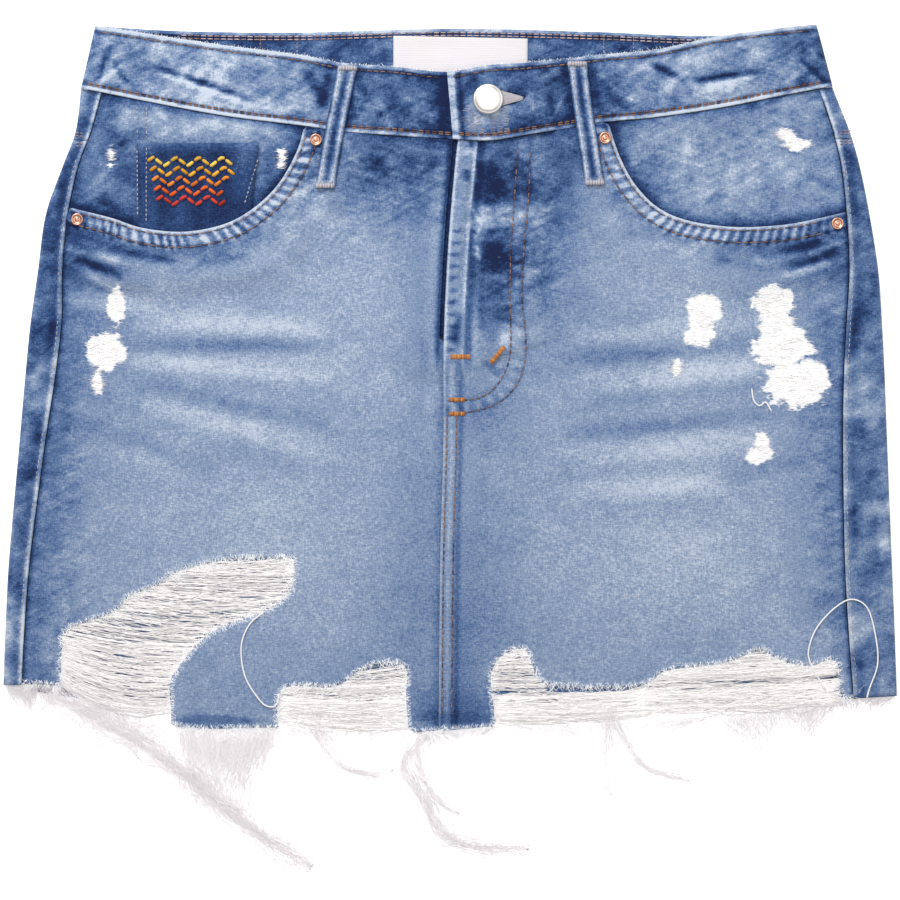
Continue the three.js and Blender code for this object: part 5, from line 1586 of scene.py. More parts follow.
@dataclass
class BeltLoop:
    """A narrow folded strip, sewn down across the waistband."""

    name: str
    top: tuple[float, float]
    bottom: tuple[float, float]
    width: float = 10.8
    thickness: float = 1.6
    steps: int = 46
    across: int = 17

    def base(self, y: Array) -> Array:
        """Returns the height of the loop's underside, straight across the steps of what it lies on."""
        down = np.linspace(0, 1, self.steps)
        x, middle_y = (lerp(a, b, down) for a, b in zip(self.top, self.bottom))
        tops = [front_top(x + side * self.width / 2, middle_y) for side in (-1, 0, 1)]
        high = np.max(tops, axis=0) + SEAM_GAP
        share = (self.top[1] - np.asarray(y, float)) / (self.top[1] - self.bottom[1])
        return np.interp(share, down, softened(high, 4))

    def surface(self, x: Array, y: Array) -> Array:
        """Returns the height of the loop's upper face."""
        return self.base(y) + self.thickness - 0.1

    def build(self, denim: Material) -> Piece:
        """Shapes and dresses the loop."""
        down = np.linspace(0, 1, self.steps)[:, None]
        side = np.linspace(-0.5, 0.5, self.across)[None, :]
        middle_x, middle_y = (lerp(a, b, down) for a, b in zip(self.top, self.bottom))
        x = middle_x + side * self.width - 0.48 * np.sin(np.pi * down)
        y = middle_y + 0 * side
        base, away = self.base(middle_y), np.abs(side) * self.width
        length = math.dist(self.top, self.bottom)
        run = down * length
        high = base + self.thickness - 0.7 * bell(away, 1.4) - 0.6 * smoothstep(away, 4.4, 5.4)
        high = high + 0.12 * np.sin(2 * np.pi * run / 5.3) * bell(away - 4, 1.5)
        # a groove and a fall at each sewn end
        high = high - bells(down, (0.5, 0.04, 0.03), (0.5, 0.96, 0.03))
        high = high - 0.8 * (smoothstep(0.03 - down, 0, 0.03) + smoothstep(down - 0.97, 0, 0.03))
        # pale worn ridges, a darker middle groove that is partly kept dye and partly painted shade, and painted
        # shade where the loop falls away at its sides
        fade = 0.62 + 0.3 * bell(away - 3.4, 1.0) - 0.42 * bell(away, 1.5) - 0.4 * smoothstep(away, 4.2, 5.4)
        fade = fade + 0.16 * patches(x, y, 3, 9, 91)
        fade = fade - 0.14 * np.sin(2 * np.pi * run / 4.2) * bell(away - 1.9, 0.8)
        fade = lerp(fade, 0.86, bells(down, (1, 0.02, 0.035), (1, 0.98, 0.035)))
        marks = {name: np.array([value, value]) for name, value in plain_marks(x, fade, 0.25).items()}
        cloth = grid_shell(np.dstack([x, y, high]), np.dstack([x, y, base + 0 * side]), marks)
        piece = cloth.made(self.name + "_cloth", denim)
        return dressed(piece, (self.name,), (self.width, length), None)


BAND_PIECE = Waistband()


def front_top(x: Array, y: Array) -> Array:
    """Returns the height of the uppermost face of the front, on band, panel or facing."""
    x, y = np.asarray(x, float), np.asarray(y, float)
    band = BAND_PIECE.front_top(x, y, x > 0)
    left, right = (panel_low(side, x, y) + DENIM for side in Side)
    in_left = (POCKET_EDGES[Side.LEFT].place(x, y)[0] < 0) & (x < -70) & (y > 110)
    in_right = (POCKET_EDGES[Side.RIGHT].place(x, y)[0] < 0) & (x > 80) & (y > 110)
    panel = np.where(in_left | in_right, facing_top(x, y), np.where(x < fly_edge(y), left, right))
    return np.where(y > waist_seam(x), band, panel)


@dataclass
class WaistLabel:
    """The blank white label inside the back of the waistband."""

    height: float = 3.3
    thickness: float = 0.6
    slope: float = 1.5

    def build(self, tape: Material) -> Piece:
        """Shapes and dresses the label, a folded tape sewn at its ends."""
        width = LABEL_RIGHT - LABEL_LEFT
        across, up = np.linspace(LABEL_LEFT, LABEL_RIGHT, 60)[:, None], np.linspace(0, 1, 24)[None, :]
        y = lerp(LABEL_BOTTOM, LABEL_TOP - self.slope * (across - LABEL_LEFT) / width, up)
        x = across + 0 * up
        z = self.height + 0.25 * np.sin(across / 9.0) * np.sin(up * 2.6) + 0.1 * patches(x, y, 12, 7, 95)
        z = z - 0.25 * smoothstep(np.abs(across - (LABEL_LEFT + LABEL_RIGHT) / 2), 35.6, 37.3)
        faces = np.dstack([x, y, z]), np.dstack([x, y, z - self.thickness])
        piece = grid_shell(*faces, {"tint": np.full((2, *x.shape), 0.5)}).made("label_tape_blank", tape)
        flat = (width, LABEL_TOP - LABEL_BOTTOM)
        return dressed(piece, ("label",), flat, None)


def stitched(
    line: Array, height: Height, length: float = 3.0, gap: float = 0.7, radius: float = 0.36, sink: float = 0.22
) -> Cloth:
    """Makes a row of stitches along a line.

    Args:
        line: the row's points in plan.
        height: gives the cloth's face.
        length, gap: of each stitch.
        radius: of the thread.
        sink: how deep its ends go into the cloth.
    Returns:
        The stitches as one mesh.
    """
    run = run_of(line)
    starts = np.arange(0.4, run[-1] - length, length + gap)
    places = starts[:, None] + np.array([0.0, 0.16, 0.5, 0.84, 1.0]) * length
    x, y = np.interp(places, run, line[:, 0]), np.interp(places, run, line[:, 1])
    arch = np.array([-sink - radius, 0.02, 0.12, 0.02, -sink - radius])
    paths = np.dstack([x, y, height(x, y) + arch + radius * 0.35])
    return strands(paths, radius, 5, (0.6, 1.0, 1.05, 1.0, 0.6))


def bartack(start: tuple[float, float], end: tuple[float, float], width: float, height: Height) -> Cloth:
    """Makes a bartack: close threads across a short line from start to end, on the cloth of that height."""
    a, b = np.array(start), np.array(end)
    length = np.linalg.norm(b - a)
    along = (b - a) / length
    across = np.array([-along[1], along[0]])
    count = max(6, int(length / 0.42))
    middle = a + (b - a) * np.linspace(0, 1, count)[:, None]
    reach = np.array([-0.5, -0.42, 0.0, 0.42, 0.5]) * width
    wobble = np.random.default_rng(count).uniform(0.85, 1.1, (count, 1))
    plan_x, plan_y = np.moveaxis(middle[:, None, :] + across * (reach[:, None] * wobble[:, :, None]), 2, 0)
    top = height(plan_x, plan_y).max(axis=1, keepdims=True)
    paths = np.dstack([plan_x, plan_y, top + np.array([-0.5, 0.1, 0.35, 0.1, -0.5])])
    return strands(paths, 0.34, 5, (0.6, 1.0, 1.0, 1.0, 0.6))


def sewn(
    parts: list[Cloth], name: str, thread: Material, nodes: tuple[str, ...] = ()
) -> Piece:
    """Joins threads into one piece and says what it is."""
    return dressed(joined(parts).made(name, thread), nodes)


@dataclass
class Topstitching:
    """All the rows of topstitching and the bartacks."""

    loops: list[BeltLoop]
    # how far the rows lie from the waist seam and the band's top, and beside the centre seam
    seam_rows: tuple[float, ...] = (2.5, 3.6)
    top_row: float = 3.1
    centre_rows: tuple[float, ...] = (1.9, 7.2)
    step: float = 2.0

    def rows(self) -> list[Cloth]:
        """Returns every row of tan stitches on the front."""
        lines = []
        for start, end in ((-201, 2.0), (4.4, 209)):
            x = np.arange(start, end, self.step)
            lines += [plan(x, waist_seam(x) + row) for row in self.seam_rows]
        for start, end in ((-193, -2.5), (1.5, 200)):
            x = np.arange(start, end, self.step)
            lines.append(plan(x, WAIST.read("top", x) - self.top_row))
        for edge in POCKET_EDGES.values():
            x, y = edge.line.T
            line = edge.line[(y < waist_seam(x) - 2) & (np.abs(x) < 208)]
            lines += [moved(line, edge.sign * row) for row in edge.rows]
        lines += [curve[curve[:, 1] < 167] for curve in (FLY_CURVE_OUTER, FLY_CURVE_INNER)]
        down = np.arange(18, -152, -self.step)
        lines += [plan(fly_edge(down) + row, down) for row in self.centre_rows]
        return [stitched(line, front_top) for line in lines if len(line) > 3]

    def build(self, thread: Material, orange: Material) -> None:
        """Builds the rows and the fly's bartacks."""
        sewn(self.rows(), "topstitching", thread)
        tacks = (
            ((0.6, 50.6), (11.0, 50.6), 2.6), ((-0.4, 26.8), (8.0, 26.8), 2.4),
            ((-0.4, 19.0), (8.0, 19.0), 2.4), ((22.8, 47.4), (30.0, 56.0), 2.4),
        )
        sewn([bartack(*tack, front_top) for tack in tacks], "fly_bartacks", orange)

    def darning(self) -> list[Cloth]:
        """Returns the rows darned round the button and the thread round its hole."""
        parts = []
        shifts = np.random.default_rng(6).uniform(0, 5, 40)
        for y, shift in zip(np.arange(174.0, 190.5, 0.85), shifts):
            x = np.arange(6.0 + shift, 37.0 - abs(y - 180) * 0.3 - shift / 2, 1.0)
            line = plan(x, y + 0.06 * (x - 20) + 0.3 * patches(x, x * 0 + y, 4, 4, 98))
            clear = np.hypot(line[:, 0] - BUTTON_X, line[:, 1] - BUTTON_Y) > BUTTON_RADIUS + 0.8
            halves = (line[clear & (x < BUTTON_X)], line[clear & (x >= BUTTON_X)])
            parts += [stitched(half, front_top, 3.4, 0.4, 0.15) for half in halves if len(half) > 4]
        x = np.linspace(BUTTON_X + 5, BUTTON_X + 19.4, 10)
        half, middle = BAND_PIECE.hole_edge(x), BUTTON_Y + BAND_PIECE.hole_middle
        for share in np.linspace(-0.85, 0.85, 9):
            z = front_top(x, BUTTON_Y + 9 + 0 * x) - 0.35 + 0.3 * math.cos(share * 1.5)
            paths = np.dstack([x, middle + share * half, z])
            parts.append(strands(paths, 0.42, 5, tuple(np.linspace(1.6, 0.7, 10))))
        return parts

    def build_pale(self, pale: Material) -> None:
        """Builds the pale rows: coin pocket, loops, side seams, darning round the button and its hole."""
        parts = []
        pocket_rows = (
            (CoinPocket().top, (137.2, 150), (137.6, 219)), (CoinPocket().top, (146.4, 147), (146, 224)),
            (CoinPocket().top, (258, 159), (244, 205)),
            (facing_top, (137.2, 106), (137.2, 142)), (facing_top, (146.4, 107), (146.4, 142)),
        )
        for top, start, end in pocket_rows:
            parts.append(stitched(even(np.array(px(start, end)), self.step), top, 1.6, 1.0, 0.3))
        for loop in self.loops:
            for side in (-3.4, 3.4):
                line = even(np.array([loop.top, loop.bottom]) + [side, 0.0], self.step)[1:-1]
                parts.append(stitched(line, loop.surface, 2.2, 0.6, 0.26))
            for (x, y), inward in ((loop.top, -1.2), (loop.bottom, 1.2)):
                parts.append(bartack((x - 4.6, y + inward), (x + 4.6, y + inward), 2.4, loop.surface))
        for side in Side:
            y = np.arange(160, -132, -self.step)
            parts.append(stitched(plan(side_x(side, y) + side.sign * 2.6, y), side_top, 2.0, 1.0, 0.24))
        sewn(parts + self.darning(), "pale_stitching", pale)

    def build_inner(self, lilac: Material) -> None:
        """Builds the rows that show inside the back and at the ends of the yoke seam."""

        def inside(x: Array, y: Array) -> Array:
            """Returns the height of the back band's inner face."""
            return BAND + 0.15 + 0 * x

        x = np.arange(-150, 148, self.step)
        parts = [stitched(plan(x, BACK_TOP.read("top", x) - drop), inside) for drop in (2.3, 3.9)]
        for across in (-105.5, -85.0, 85.5, 102.0):
            line = np.array([(across, y) for y in (230.0, 222.0, 216.0)])
            parts.append(stitched(line, inside, 1.5, 0.6, 0.25))
        for side in Side:
            fold, seam = side_x(side, 168.0, "fold"), side_x(side, 168.0)
            x = np.linspace(seam + side.sign * 1.5, fold - side.sign * 0.8, 12)
            for rise in (-3.4, -1.8, 2.2, 3.8):
                y = lerp(YOKE_MIDDLE, YOKE_SIDE, np.abs(x) / BAND_SEAM_RIGHT) + rise
                parts.append(stitched(plan(x, y), side_top, 1.9, 0.5, 0.3))
        sewn(parts, "inner_stitching", lilac)


@dataclass
class ZigzagPatch:
    """Plain rows of zigzag running stitches on the coin pocket, in place of the needlework seen there."""

    left: float = -168.0
    right: float = -117.0
    rows: tuple[float, ...] = (159.0, 153.6, 148.2, 142.8, 137.4)
    rise: float = 2.5
    period: float = 12.8

    def build(self, threads: list[Material]) -> None:
        """Builds one piece for each row's thread."""
        for number, (level, thread) in enumerate(zip(self.rows, threads)):
            x = np.arange(self.left + number * 1.2, self.right - number * 1.2, self.period / 4)
            wave = np.array([0.0, 1.0, 0.0, -1.0])[np.arange(len(x)) % 4] * self.rise
            row = stitched(even(plan(x, level + wave), 0.8), CoinPocket().top, 4.4, 1.0, 1.0, 0.3)
            dressed(row.made("zigzag_row_%d" % (number + 1), thread))


@dataclass
class LooseThreads:
    """Single threads that have worked loose and lie over the cloth."""

    routes: tuple[tuple[tuple[float, float], ...], ...] = (
        ((264, 612), (249, 625), (241, 647), (245, 677), (260, 701), (269, 707), (276, 705), (279, 694)),
        ((825, 690), (810, 662), (809, 647), (817, 627), (834, 608), (851, 599), (867, 608), (875, 636),
         (877, 664),
         (869, 688), (866, 699)),
        ((752, 388), (754, 400), (760, 406), (766, 402), (772, 412)),
    )

    def build(self, cotton: Material) -> None:
        """Builds the threads."""
        parts = []
        for route in self.routes:
            x, y = even(smooth_line(px(*route), 60), 1.6).T
            parts.append(strands(np.dstack([x, y, softened(over_all(x, y), 2) + 0.75]), 0.42, 6))
        sewn(parts, "loose_threads", cotton)


@dataclass
class RipThreads:
    """The pale weft threads left across a rip, loose and sagging towards the hem."""

    node: str
    seed: int
    # runs of threads: y at the left and right end of the first and of the last, x at both ends, count and sag
    bands: tuple[tuple[float, ...], ...] = ()
    steps: int = 16

    def left_rip(self, draw: Draw) -> Cloth:
        """Returns the threads of the large left rip, closest at its lower edge."""
        share = np.sort(np.concatenate([np.linspace(0, 1, 420), draw.uniform(0.6, 1, 60)]))
        ends = ((-63.0, -130.5), (-62.0, -147.0))
        left_y, right_y = (lerp(first, last, share) + draw.normal(0, 0.25, len(share)) for first, last in ends)
        left_x, right_x = LEFT_RIP.read("left", left_y) - 2.5, LEFT_RIP.read("right", right_y) + 2.5
        sag = (0.4 + 7.5 * share**2) * draw.uniform(0.6, 1.25, len(share))
        return self.spans(left_x, left_y, right_x, right_y, sag, draw)

    def band(self, row: tuple[float, ...], draw: Draw) -> Cloth:
        """Returns one run of threads."""
        from_left, from_right, to_left, to_right, left_x, right_x, count, sag = row
        share = np.sort(draw.uniform(0, 1, count))
        left_y, right_y = lerp(from_left, to_left, share), lerp(from_right, to_right, share)
        sag = sag * draw.uniform(0.2, 1.3, count) * (0.4 + 0.6 * share)
        return self.spans(np.full(count, left_x), left_y, np.full(count, right_x), right_y, sag, draw)

    def spans(
        self, left_x: Array, left_y: Array, right_x: Array, right_y: Array, sag: Array, draw: Draw
    ) -> Cloth:
        """Returns sagging threads between two sets of ends."""
        t, count = np.linspace(0, 1, self.steps), len(left_x)
        left_x, left_y, right_x, right_y, sag = (v[:, None] for v in (left_x, left_y, right_x, right_y, sag))
        x = lerp(left_x, right_x, t)
        swing, ripple, turns = draw.normal(0, 1, (count, 3, 1)).transpose(1, 0, 2)
        y = lerp(left_y, right_y, t) - sag * np.sin(np.pi * t)
        waver = swing * np.sin(2 * np.pi * t) + 0.7 * ripple * np.sin((4 + 3 * np.abs(turns)) * np.pi * t)
        y = y + waver * 0.011 * np.abs(right_x - left_x)
        y = y + 0.16 * draw.normal(0, 1, x.shape)
        z = front_height(x, y) + DENIM * 0.5 + draw.uniform(-0.5, 0.5, (count, 1)) * np.sin(np.pi * t) ** 0.5
        return strands(np.dstack([x, y, z]), draw.uniform(0.15, 0.34, count))

    def build(self, cotton: Material) -> None:
        """Builds the threads."""
        draw = np.random.default_rng(self.seed)
        parts = [self.band(row, draw) for row in self.bands] or [self.left_rip(draw)]
        sewn(parts, self.node + "_weft", cotton, (self.node,))


@dataclass
class Fluff:
    """Loose cotton tufts at the frayed hem and long locks on the surface below it."""

    node: str
    seed: int
    # tufts: from x, to x, count, length and lean
    runs: tuple[tuple[float, ...], ...]
    # locks: width and route
    locks: tuple[tuple[float, tuple[tuple[float, float], ...]], ...] = ()

    def tufts(self, draw: Draw) -> Array:
        """Returns short wavy fibres along the hem's edge."""
        groups = []
        t = np.linspace(0, 1, 7)
        for from_x, to_x, count, length, lean in self.runs:
            x0 = draw.uniform(from_x, to_x, count)
            clump = patches(x0, x0 * 0, 5, 1, self.seed)
            reach = (length * np.clip(draw.gamma(3.0, 0.28, count) + 0.25 * clump, 0.1, 1.7))[:, None]
            x0, clump = x0[:, None], clump[:, None]
            gather = 0.35 * ((from_x + to_x) / 2 - x0) * (reach / length)
            drift = draw.normal(0, lean, (count, 1)) + 2.5 * clump + gather
            turns, phase = draw.uniform(3, 11, (count, 1)), draw.uniform(0, 6, (count, 1))
            curl = draw.normal(0, 0.13 * length, (count, 1)) * np.sin(turns * t + phase)
            x, y = x0 + drift * t**1.5 + curl * t, front_hem(x0) + 1.0 - reach * t + 0.6 * curl * t
            top = front_height(x0, front_hem(x0)) + DENIM / 2
            z = lerp(top, 0.5, smoothstep(t, 0, 0.8)) + np.abs(draw.normal(0, 0.5, (count, 1))) * t
            groups.append(np.dstack([x, y, z]))
        return np.concatenate(groups)

    def lock(self, width: float, route: tuple[tuple[float, float], ...], draw: Draw) -> Array:
        """Returns the fibres of one long lock, loosely twisted about its route."""
        line = even(smooth_line(list(route), 60), 3.0)
        run = run_of(line)
        count = int(run[-1] * 3.0)
        start = draw.uniform(-0.15, 0.8, (count, 1)) * run[-1]
        reach = draw.uniform(0.2, 0.45, (count, 1)) * run[-1]
        t = np.linspace(0, 1, 12)
        place = np.clip(start + reach * t, 0, run[-1])
        share = place / run[-1]
        slow, fast = draw.uniform(20, 60, (count, 1)), draw.uniform(2.5, 6, (count, 1))
        phase = draw.uniform(0, 2 * np.pi, (count, 1)) + place / slow + 0.5 * np.sin(place / fast)
        spread = width / 2 * (1 - 0.35 * share) * np.abs(draw.normal(0, 0.8, (count, 1)))
        spread = spread * (1 + 0.25 * np.sin(place / 5.0 + 1.3)) + np.abs(draw.normal(0, 0.9, (count, 1))) * t
        along = np.gradient(line, axis=0)
        along /= np.linalg.norm(along, axis=1)[:, None]
        across = spread * np.cos(phase)
        x = np.interp(place, run, line[:, 0]) - np.interp(place, run, along[:, 1]) * across
        y = np.interp(place, run, line[:, 1]) + np.interp(place, run, along[:, 0]) * across
        start_z = front_height(line[:1, 0], np.array([-130.0]))[0] + DENIM / 2
        z = lerp(start_z, 1.2, np.sqrt(share)) + 0.3 * spread * np.sin(phase) + 0.2
        return np.dstack([x, y, np.maximum(z, 0.35)])

    def build(self, cotton: Material) -> None:
        """Builds the fibres."""
        draw = np.random.default_rng(self.seed)
        paths = self.tufts(draw)
        parts = [strands(paths, draw.uniform(0.06, 0.14, len(paths)))]
        for paths in [self.lock(width, route, draw) for width, route in self.locks]:
            parts.append(strands(paths, draw.uniform(0.06, 0.17, len(paths))))
        sewn(parts, self.node + "_fluff", cotton, (self.node,))


@dataclass
class RaggedEdges:
    """Short fibres along the raw edges of the hem and of the rips, and along the worn top of the band."""

    seed: int = 7
    per_mm: float = 5.5
    band_count: int = 1100

    def panel_fibres(self, side: Side, draw: Draw) -> Cloth:
        """Returns the fibres round one front panel, where it is raw."""
        outline = panel_outline(side)
        ring = even(np.vstack([outline, outline[:1]]), 1.0)
        run, step = run_of(ring), 1.5

        def at(place: Array) -> Array:
            """Returns the points at those runs along the outline, x and then y."""
            return np.array([np.interp(place, run, column) for column in ring.T])

        place = draw.uniform(0, run[-1], int(run[-1] * self.per_mm))
        x, y = at(place)
        raw = (y < -58) & (np.abs(x - side_x(side, y)) > 2.5) & (np.abs(x - fly_edge(y) - 1.5) > 9)
        place = place[raw | (y < front_hem(x) + 1.5)]
        x, y = at(place)[:, :, None]
        along = at(place + step) - at(place - step)
        ax, ay = (along / np.hypot(*along))[:, :, None]
        # the way out of the panel, whichever way round its outline runs
        turned = np.roll(outline, -1, axis=0)
        out = -1.0 if np.dot(outline[:, 0], turned[:, 1]) > np.dot(outline[:, 1], turned[:, 0]) else 1.0
        length = draw.gamma(2.2, 1.2, len(x))[:, None] * np.where(y > -70, 1.3, 1.0)
        t = np.linspace(0, 1, 4)
        lean = draw.normal(0, 0.8, (len(x), 1))
        forth = out * (length * t - draw.uniform(0.6, 3.0, (len(x), 1)))
        aside = lean * length * t**2
        x, y = x - ay * forth + ax * aside, y + ax * forth + ay * aside
        z = np.maximum(panel_low(side, x, y) + DENIM + draw.uniform(-0.15, 0.12, (len(x), 1)), 0.3)
        return strands(np.dstack([x, y, z]), draw.uniform(0.07, 0.15, len(x)))

    def build(self, cotton: Material) -> None:
        """Builds the fibres."""
        draw = np.random.default_rng(self.seed)
        parts = [self.panel_fibres(side, draw) for side in Side]
        x = draw.uniform(-195, 199, self.band_count)
        x = x[(x < -4) | (x > 0)][:, None]
        y, t = WAIST.read("top", x), np.linspace(0, 1, 5)
        lean, length = draw.normal(0, 1.0, (len(x), 1)), draw.gamma(2.0, 0.3, (len(x), 1))
        z = front_top(x, y - 0.6) - 0.3 + 0.3 * t
        paths = np.dstack([x + lean * t, y - 1.0 + (length + 0.8) * t, z])
        parts.append(strands(paths, draw.uniform(0.06, 0.12, len(x))))
        sewn(parts, "raw_edge_fibres", cotton)


@dataclass
class BarePatches:
    """White weft left standing where the blue is worn through."""

    seed: int = 5

    def build(self, cotton: Material) -> None:
        """Builds the short fibres over each bare patch."""
        draw = np.random.default_rng(self.seed)
        groups = []
        t = np.linspace(-0.5, 0.5, 4)
        for middle_x, middle_y, half_width, half_height, _ in BARE_PATCHES:
            count = int(half_width * half_height * 4.5) + 40
            x = middle_x + draw.normal(0, 0.62, count) * half_width
            y = middle_y + draw.normal(0, 0.62, count) * half_height
            keep = bare_at(x, y) > 0.4
            x, y = x[keep][:, None], y[keep][:, None]
            if len(x) < 2:
                continue
            length, lean = draw.uniform(2.0, 7.0, (len(x), 1)), draw.normal(0, 0.22, (len(x), 1))
            curl = draw.normal(0, 0.3, (len(x), 1)) * np.sin(6 * t + draw.uniform(0, 6, (len(x), 1)))
            x, y = x + length * t * np.cos(lean), y + length * t * np.sin(lean) + curl
            z = front_top(x, y) + 0.05 + np.abs(draw.normal(0, 0.16, (len(x), 1))) * (1 - (2 * t) ** 2)
            groups.append(np.dstack([x, y, z]))
        paths = np.concatenate(groups)
        sewn([strands(paths, draw.uniform(0.09, 0.18, len(paths)))], "bare_patch_weft", cotton)


@dataclass
class HardTrim:
    """The shank button and the four rivets."""

    rivet_segments: int = 40
    button_segments: int = 64
    # half sections, each a radius and a height: the rivet's as shares of its radius and of its own depth
    bowl: tuple[tuple[float, float], ...] = (
        (0.5, 0), (0.94, 0.0), (1.0, 0.14), (1.0, 0.32), (0.93, 0.46), (0.84, 0.5), (0.74, 0.45), (0.62, 0.28),
        (0.5, 0.2), (0.36, 0.2), (0.3, 0.34), (0.22, 0.42), (0.1, 0.42),
    )
    rivet_depth: float = 1.9
    neck: float = 1.7
    button_depth: float = 3.4
    dome: tuple[tuple[float, float], ...] = (
        (7.6, -0.05), (7.9, 0.0), (8.35, 0.25), (8.5, 0.75), (8.46, 1.3), (8.3, 1.8), (8.0, 2.15), (7.7, 2.3),
        (7.45, 2.34), (7.2, 2.42), (6.8, 2.72), (6.1, 2.98), (5.1, 3.16), (3.9, 3.27), (2.6, 3.35), (1.3, 3.39),
    )

    def turned(self, section: list[tuple[float, float]], segments: int, place: tuple[float, ...]) -> Cloth:
        """Turns a half section, from axis to axis, into a closed form at a place."""
        angles = np.arange(segments) * 2 * np.pi / segments
        points = [(0.0, 0.0, section[0][1])]
        for radius, height in section[1:-1]:
            points += [(radius * math.cos(a), radius * math.sin(a), height) for a in angles]
        points.append((0.0, 0.0, section[-1][1]))
        last = len(points) - 1
        rings = np.arange(1, last).reshape(-1, segments)
        after = np.roll(rings, -1, axis=1)
        faces = [(0, b, a) for a, b in zip(rings[0].tolist(), after[0].tolist())]
        sides = (rings[:-1], after[:-1], after[1:], rings[1:])
        faces += [tuple(face) for face in np.stack([corner.ravel() for corner in sides], axis=1).tolist()]
        faces += [(a, b, last) for a, b in zip(rings[-1].tolist(), after[-1].tolist())]
        return Cloth(np.array(points) + place, faces)

    def build_rivet(self, name: str, copper: Material) -> None:
        """Builds a rivet: a rounded ring with a sunk bowl and a small burr in its middle."""
        low, high = np.array(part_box(name)) / MM
        x, y = (low[:2] + high[:2]) / 2
        radius, depth = (high[0] - low[0]) / 2, (high[2] - low[2]) * self.rivet_depth
        section = [(0, 0), *((share * radius, rise * depth) for share, rise in self.bowl), (0, 0.4 * depth)]
        cap = self.turned(section, self.rivet_segments, (x, y, low[2]))
        dressed(cap.made(name + "_cap", copper), (name,))

    def build_button(self, metal: Material) -> None:
        """Builds the button: a smooth low dome with a rolled rim on a neck."""
        low, high = np.array(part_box("button")) / MM
        x, y = (low[:2] + high[:2]) / 2
        foot = low[2] - high[2] + self.button_depth
        shank = [(0, foot), (self.neck, foot), (self.neck, self.dome[0][1])]
        section = [*shank, *self.dome, (0, self.button_depth)]
        button = self.turned(section, self.button_segments, (x, y, high[2] - self.button_depth))
        dressed(button.made("shank_button", metal), ("button",))


@dataclass(frozen=True)
class StudioBoard(Finish):
    """White card, lit through, as under a cut-out product photo."""

    name: str = "white studio board"

    def dress(self, tree: bpy.types.NodeTree, place: Socket) -> dict[str, object]:
        """Returns the board's plain white."""
        white = linear("#ffffff")
        glow = {"Emission Color": white, "Emission Strength": 0.5}
        return {"Base Color": white, "Roughness": 0.9, "Specular IOR Level": 0.0, **glow}


@dataclass
class Studio:
    """Plain pale floor, even soft light and a camera straight above, as in the photo, with sizes in metres."""

    camera_height: float = 1.6
    seen_width: float = 0.4995
    centre: tuple[float, float] = (0.0, -0.0011)
    cloth_height: float = 0.005
    sensor: float = 36.0
    reach: float = 4.0
    sky: float = 0.36
    # name, place, size and power
    lamps: tuple[tuple[str, tuple[float, ...], float, float], ...] = (
        ("key", (-0.45, 1.1, 0.95), 0.6, 16.0),
        ("fill", (0.9, 0.4, 1.0), 1.2, 3.4),
        ("overhead", (0.0, 0.0, 1.9), 2.0, 13.0),
    )

    def placed(self, name: str, data: bpy.types.ID, place: tuple[float, ...] = (0.0, 0.0, 0.0)) -> Piece:
        """Puts an object into the scene."""
        made = bpy.data.objects.new(name, data)
        made.location = place
        bpy.context.scene.collection.objects.link(made)
        return made

    def build(self) -> None:
        """Builds the floor, lights and camera."""
        mesh, r, scene = bpy.data.meshes.new("floor"), self.reach, bpy.context.scene
        mesh.from_pydata([(-r, -r, 0), (r, -r, 0), (r, r, 0), (-r, r, 0)], [], [(0, 1, 2, 3)])
        mesh.materials.append(StudioBoard().material())
        self.placed("floor", mesh)
        world = bpy.data.worlds.new("studio")
        world.use_nodes = True
        background = world.node_tree.nodes["Background"].inputs
        background["Color"].default_value, background["Strength"].default_value = (1, 1, 1, 1), self.sky
        scene.world = world
        for name, place, size, power in self.lamps:
            light = bpy.data.lights.new(name, "AREA")
            light.size, light.energy = size, power
            aim = (-Vector(place)).to_track_quat("-Z", "Y")
            self.placed(name, light, place).rotation_euler = aim.to_euler()
        camera = bpy.data.cameras.new("camera")
        camera.sensor_width = self.sensor
        camera.lens = self.sensor * (self.camera_height - self.cloth_height) / self.seen_width
        scene.camera = self.placed("camera", camera, (*self.centre, self.camera_height))
        scene.view_settings.view_transform = "Standard"


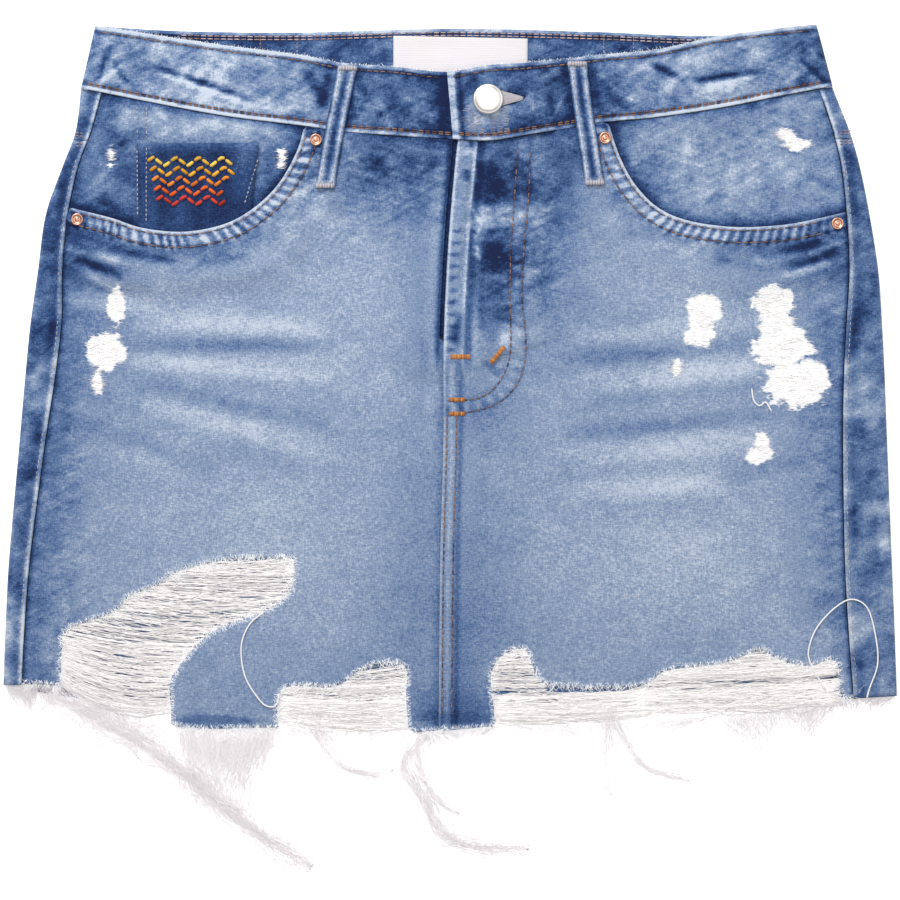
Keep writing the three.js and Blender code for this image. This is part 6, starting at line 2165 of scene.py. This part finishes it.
def build_fray(cotton: Material, fluff: Material) -> None:
    """Builds the threads across the three rips and the fluff of the hem."""
    centre_bands = (
        (-124, -120, -136, -134, -62, -21, 60, 1.0),
        (-133, -130, -152, -156, -97, -20, 190, 3.0),
    )
    right_bands = (
        (-112, -111, -134, -134.5, 20, 54, 110, 0.8),
        (-137.8, -134.0, -153, -149, 22, 112, 150, 1.6),
        (-134.0, -127.5, -148, -142, 100, 217, 160, 2.4),
        (-118, -111, -131.5, -125.5, 104, 217, 150, 0.8),
    )
    for node, seed, bands in (("left", 101, ()), ("centre", 102, centre_bands), ("right", 103, right_bands)):
        RipThreads("rip_threads_" + node, seed, bands).build(cotton)
    left_lock = ((-222, -136), (-194, -152), (-166, -167.6), (-138, -190), (-105, -216), (-76.6, -233.4))
    left_locks = ((17.0, left_lock),)
    centre_locks = (
        (9.0, ((-17, -160), (-18, -172), (-14, -186), (-4, -198), (5, -204))),
        (15.0, ((-14, -160), (-26, -176), (-14, -196), (-6, -212), (10, -221), (44, -223))),
        (12.0, ((-80, -146), (-73, -160), (-61, -176), (-42, -181.5), (-32, -178))),
    )
    right_locks = (
        (20.0, ((85, -142), (87, -160), (86, -180), (88, -200))),
        (5.0, ((88, -142), (96, -160), (110, -178), (133, -185))),
        (16.0, ((194, -140), (198, -150), (203, -161))),
    )
    middle_runs = ((-152, -96, 1300, 30, 7), (-212, -156, 380, 12, 5))
    right_runs = ((214, 247, 320, 8, 3), (150, 216, 620, 17, 6), (30, 150, 420, 8, 5))
    Fluff("fray_left", 201, ((-247, -216, 420, 12, 3),), left_locks).build(fluff)
    Fluff("fray_left_middle", 202, middle_runs).build(fluff)
    Fluff("fray_centre", 203, ((-21, 28, 300, 8, 3), (-92, -22, 260, 9, 5)), centre_locks).build(fluff)
    Fluff("fray_right", 204, right_runs, right_locks).build(fluff)


def main() -> None:
    """Builds the skirt piece by piece and says so."""
    logging.basicConfig(level=logging.INFO, format="%(message)s")
    denim = StonewashedDenim().material()
    cotton = SpunCotton("undyed cotton weft", "#d8d5d6", "#f8f5f4", glow=0.08).material()
    Studio().build()
    for side in Side:
        for upper in (False, True):
            BackHalf(side, upper).build(denim)
        PocketFacing(side).build(denim)
    CoinPocket().build(denim)
    FlyShield().build(denim)
    for side in Side:
        FrontPanel(side).build(denim)
    WaistLabel().build(WovenTape().material())
    BAND_PIECE.build(denim)
    loops = [
        BeltLoop("belt_loop_left", (-56.6, 211.8), (-69.4, 144.3)),
        BeltLoop("belt_loop_right", (70.5, 214.2), (80.5, 146.0)),
    ]
    for loop in loops:
        loop.build(denim)
    stitching = Topstitching(loops)
    tan = SpunCotton("tan topstitch thread", "#38292b", "#93715c").material()
    stitching.build(tan, SpunCotton("orange bartack thread", "#8a5230", "#c98a52").material())
    stitching.build_pale(SpunCotton("washed pale thread", "#84848f", "#bdb8bc").material())
    stitching.build_inner(SpunCotton("washed lilac thread", "#7a6466", "#c4aeb0").material())
    colours = (
        ("yellow", "#c99a30", "#f2cc58"),
        ("gold", "#bf8420", "#ecb038"),
        ("amber", "#c0601a", "#e88a30"),
        ("orange", "#b44818", "#e26426"),
        ("red", "#96281e", "#cc4030"),
    )
    cottons = [SpunCotton(name + " embroidery cotton", *shades).material() for name, *shades in colours]
    ZigzagPatch().build(cottons)
    LooseThreads().build(cotton)
    trim, copper = HardTrim(), WornMetal("copper rivet", "#f2c2aa", "#b97a60", 0.34).material()
    for name in ("rivet_left_inner", "rivet_left_outer", "rivet_right_inner", "rivet_right_outer"):
        trim.build_rivet(name, copper)
    trim.build_button(WornMetal("nickel plated button", "#f7f5f1", "#e6e3dd", 0.4, 2.0).material())
    build_fray(cotton, SpunCotton("teased cotton fluff", "#ebe5e8", "#fbf8f9", glow=0.12).material())
    RaggedEdges().build(SpunCotton("white raw edge fuzz", "#e6e4e8", "#ffffff", glow=0.22).material())
    BarePatches().build(cotton)


if __name__ == "__main__":
    main()
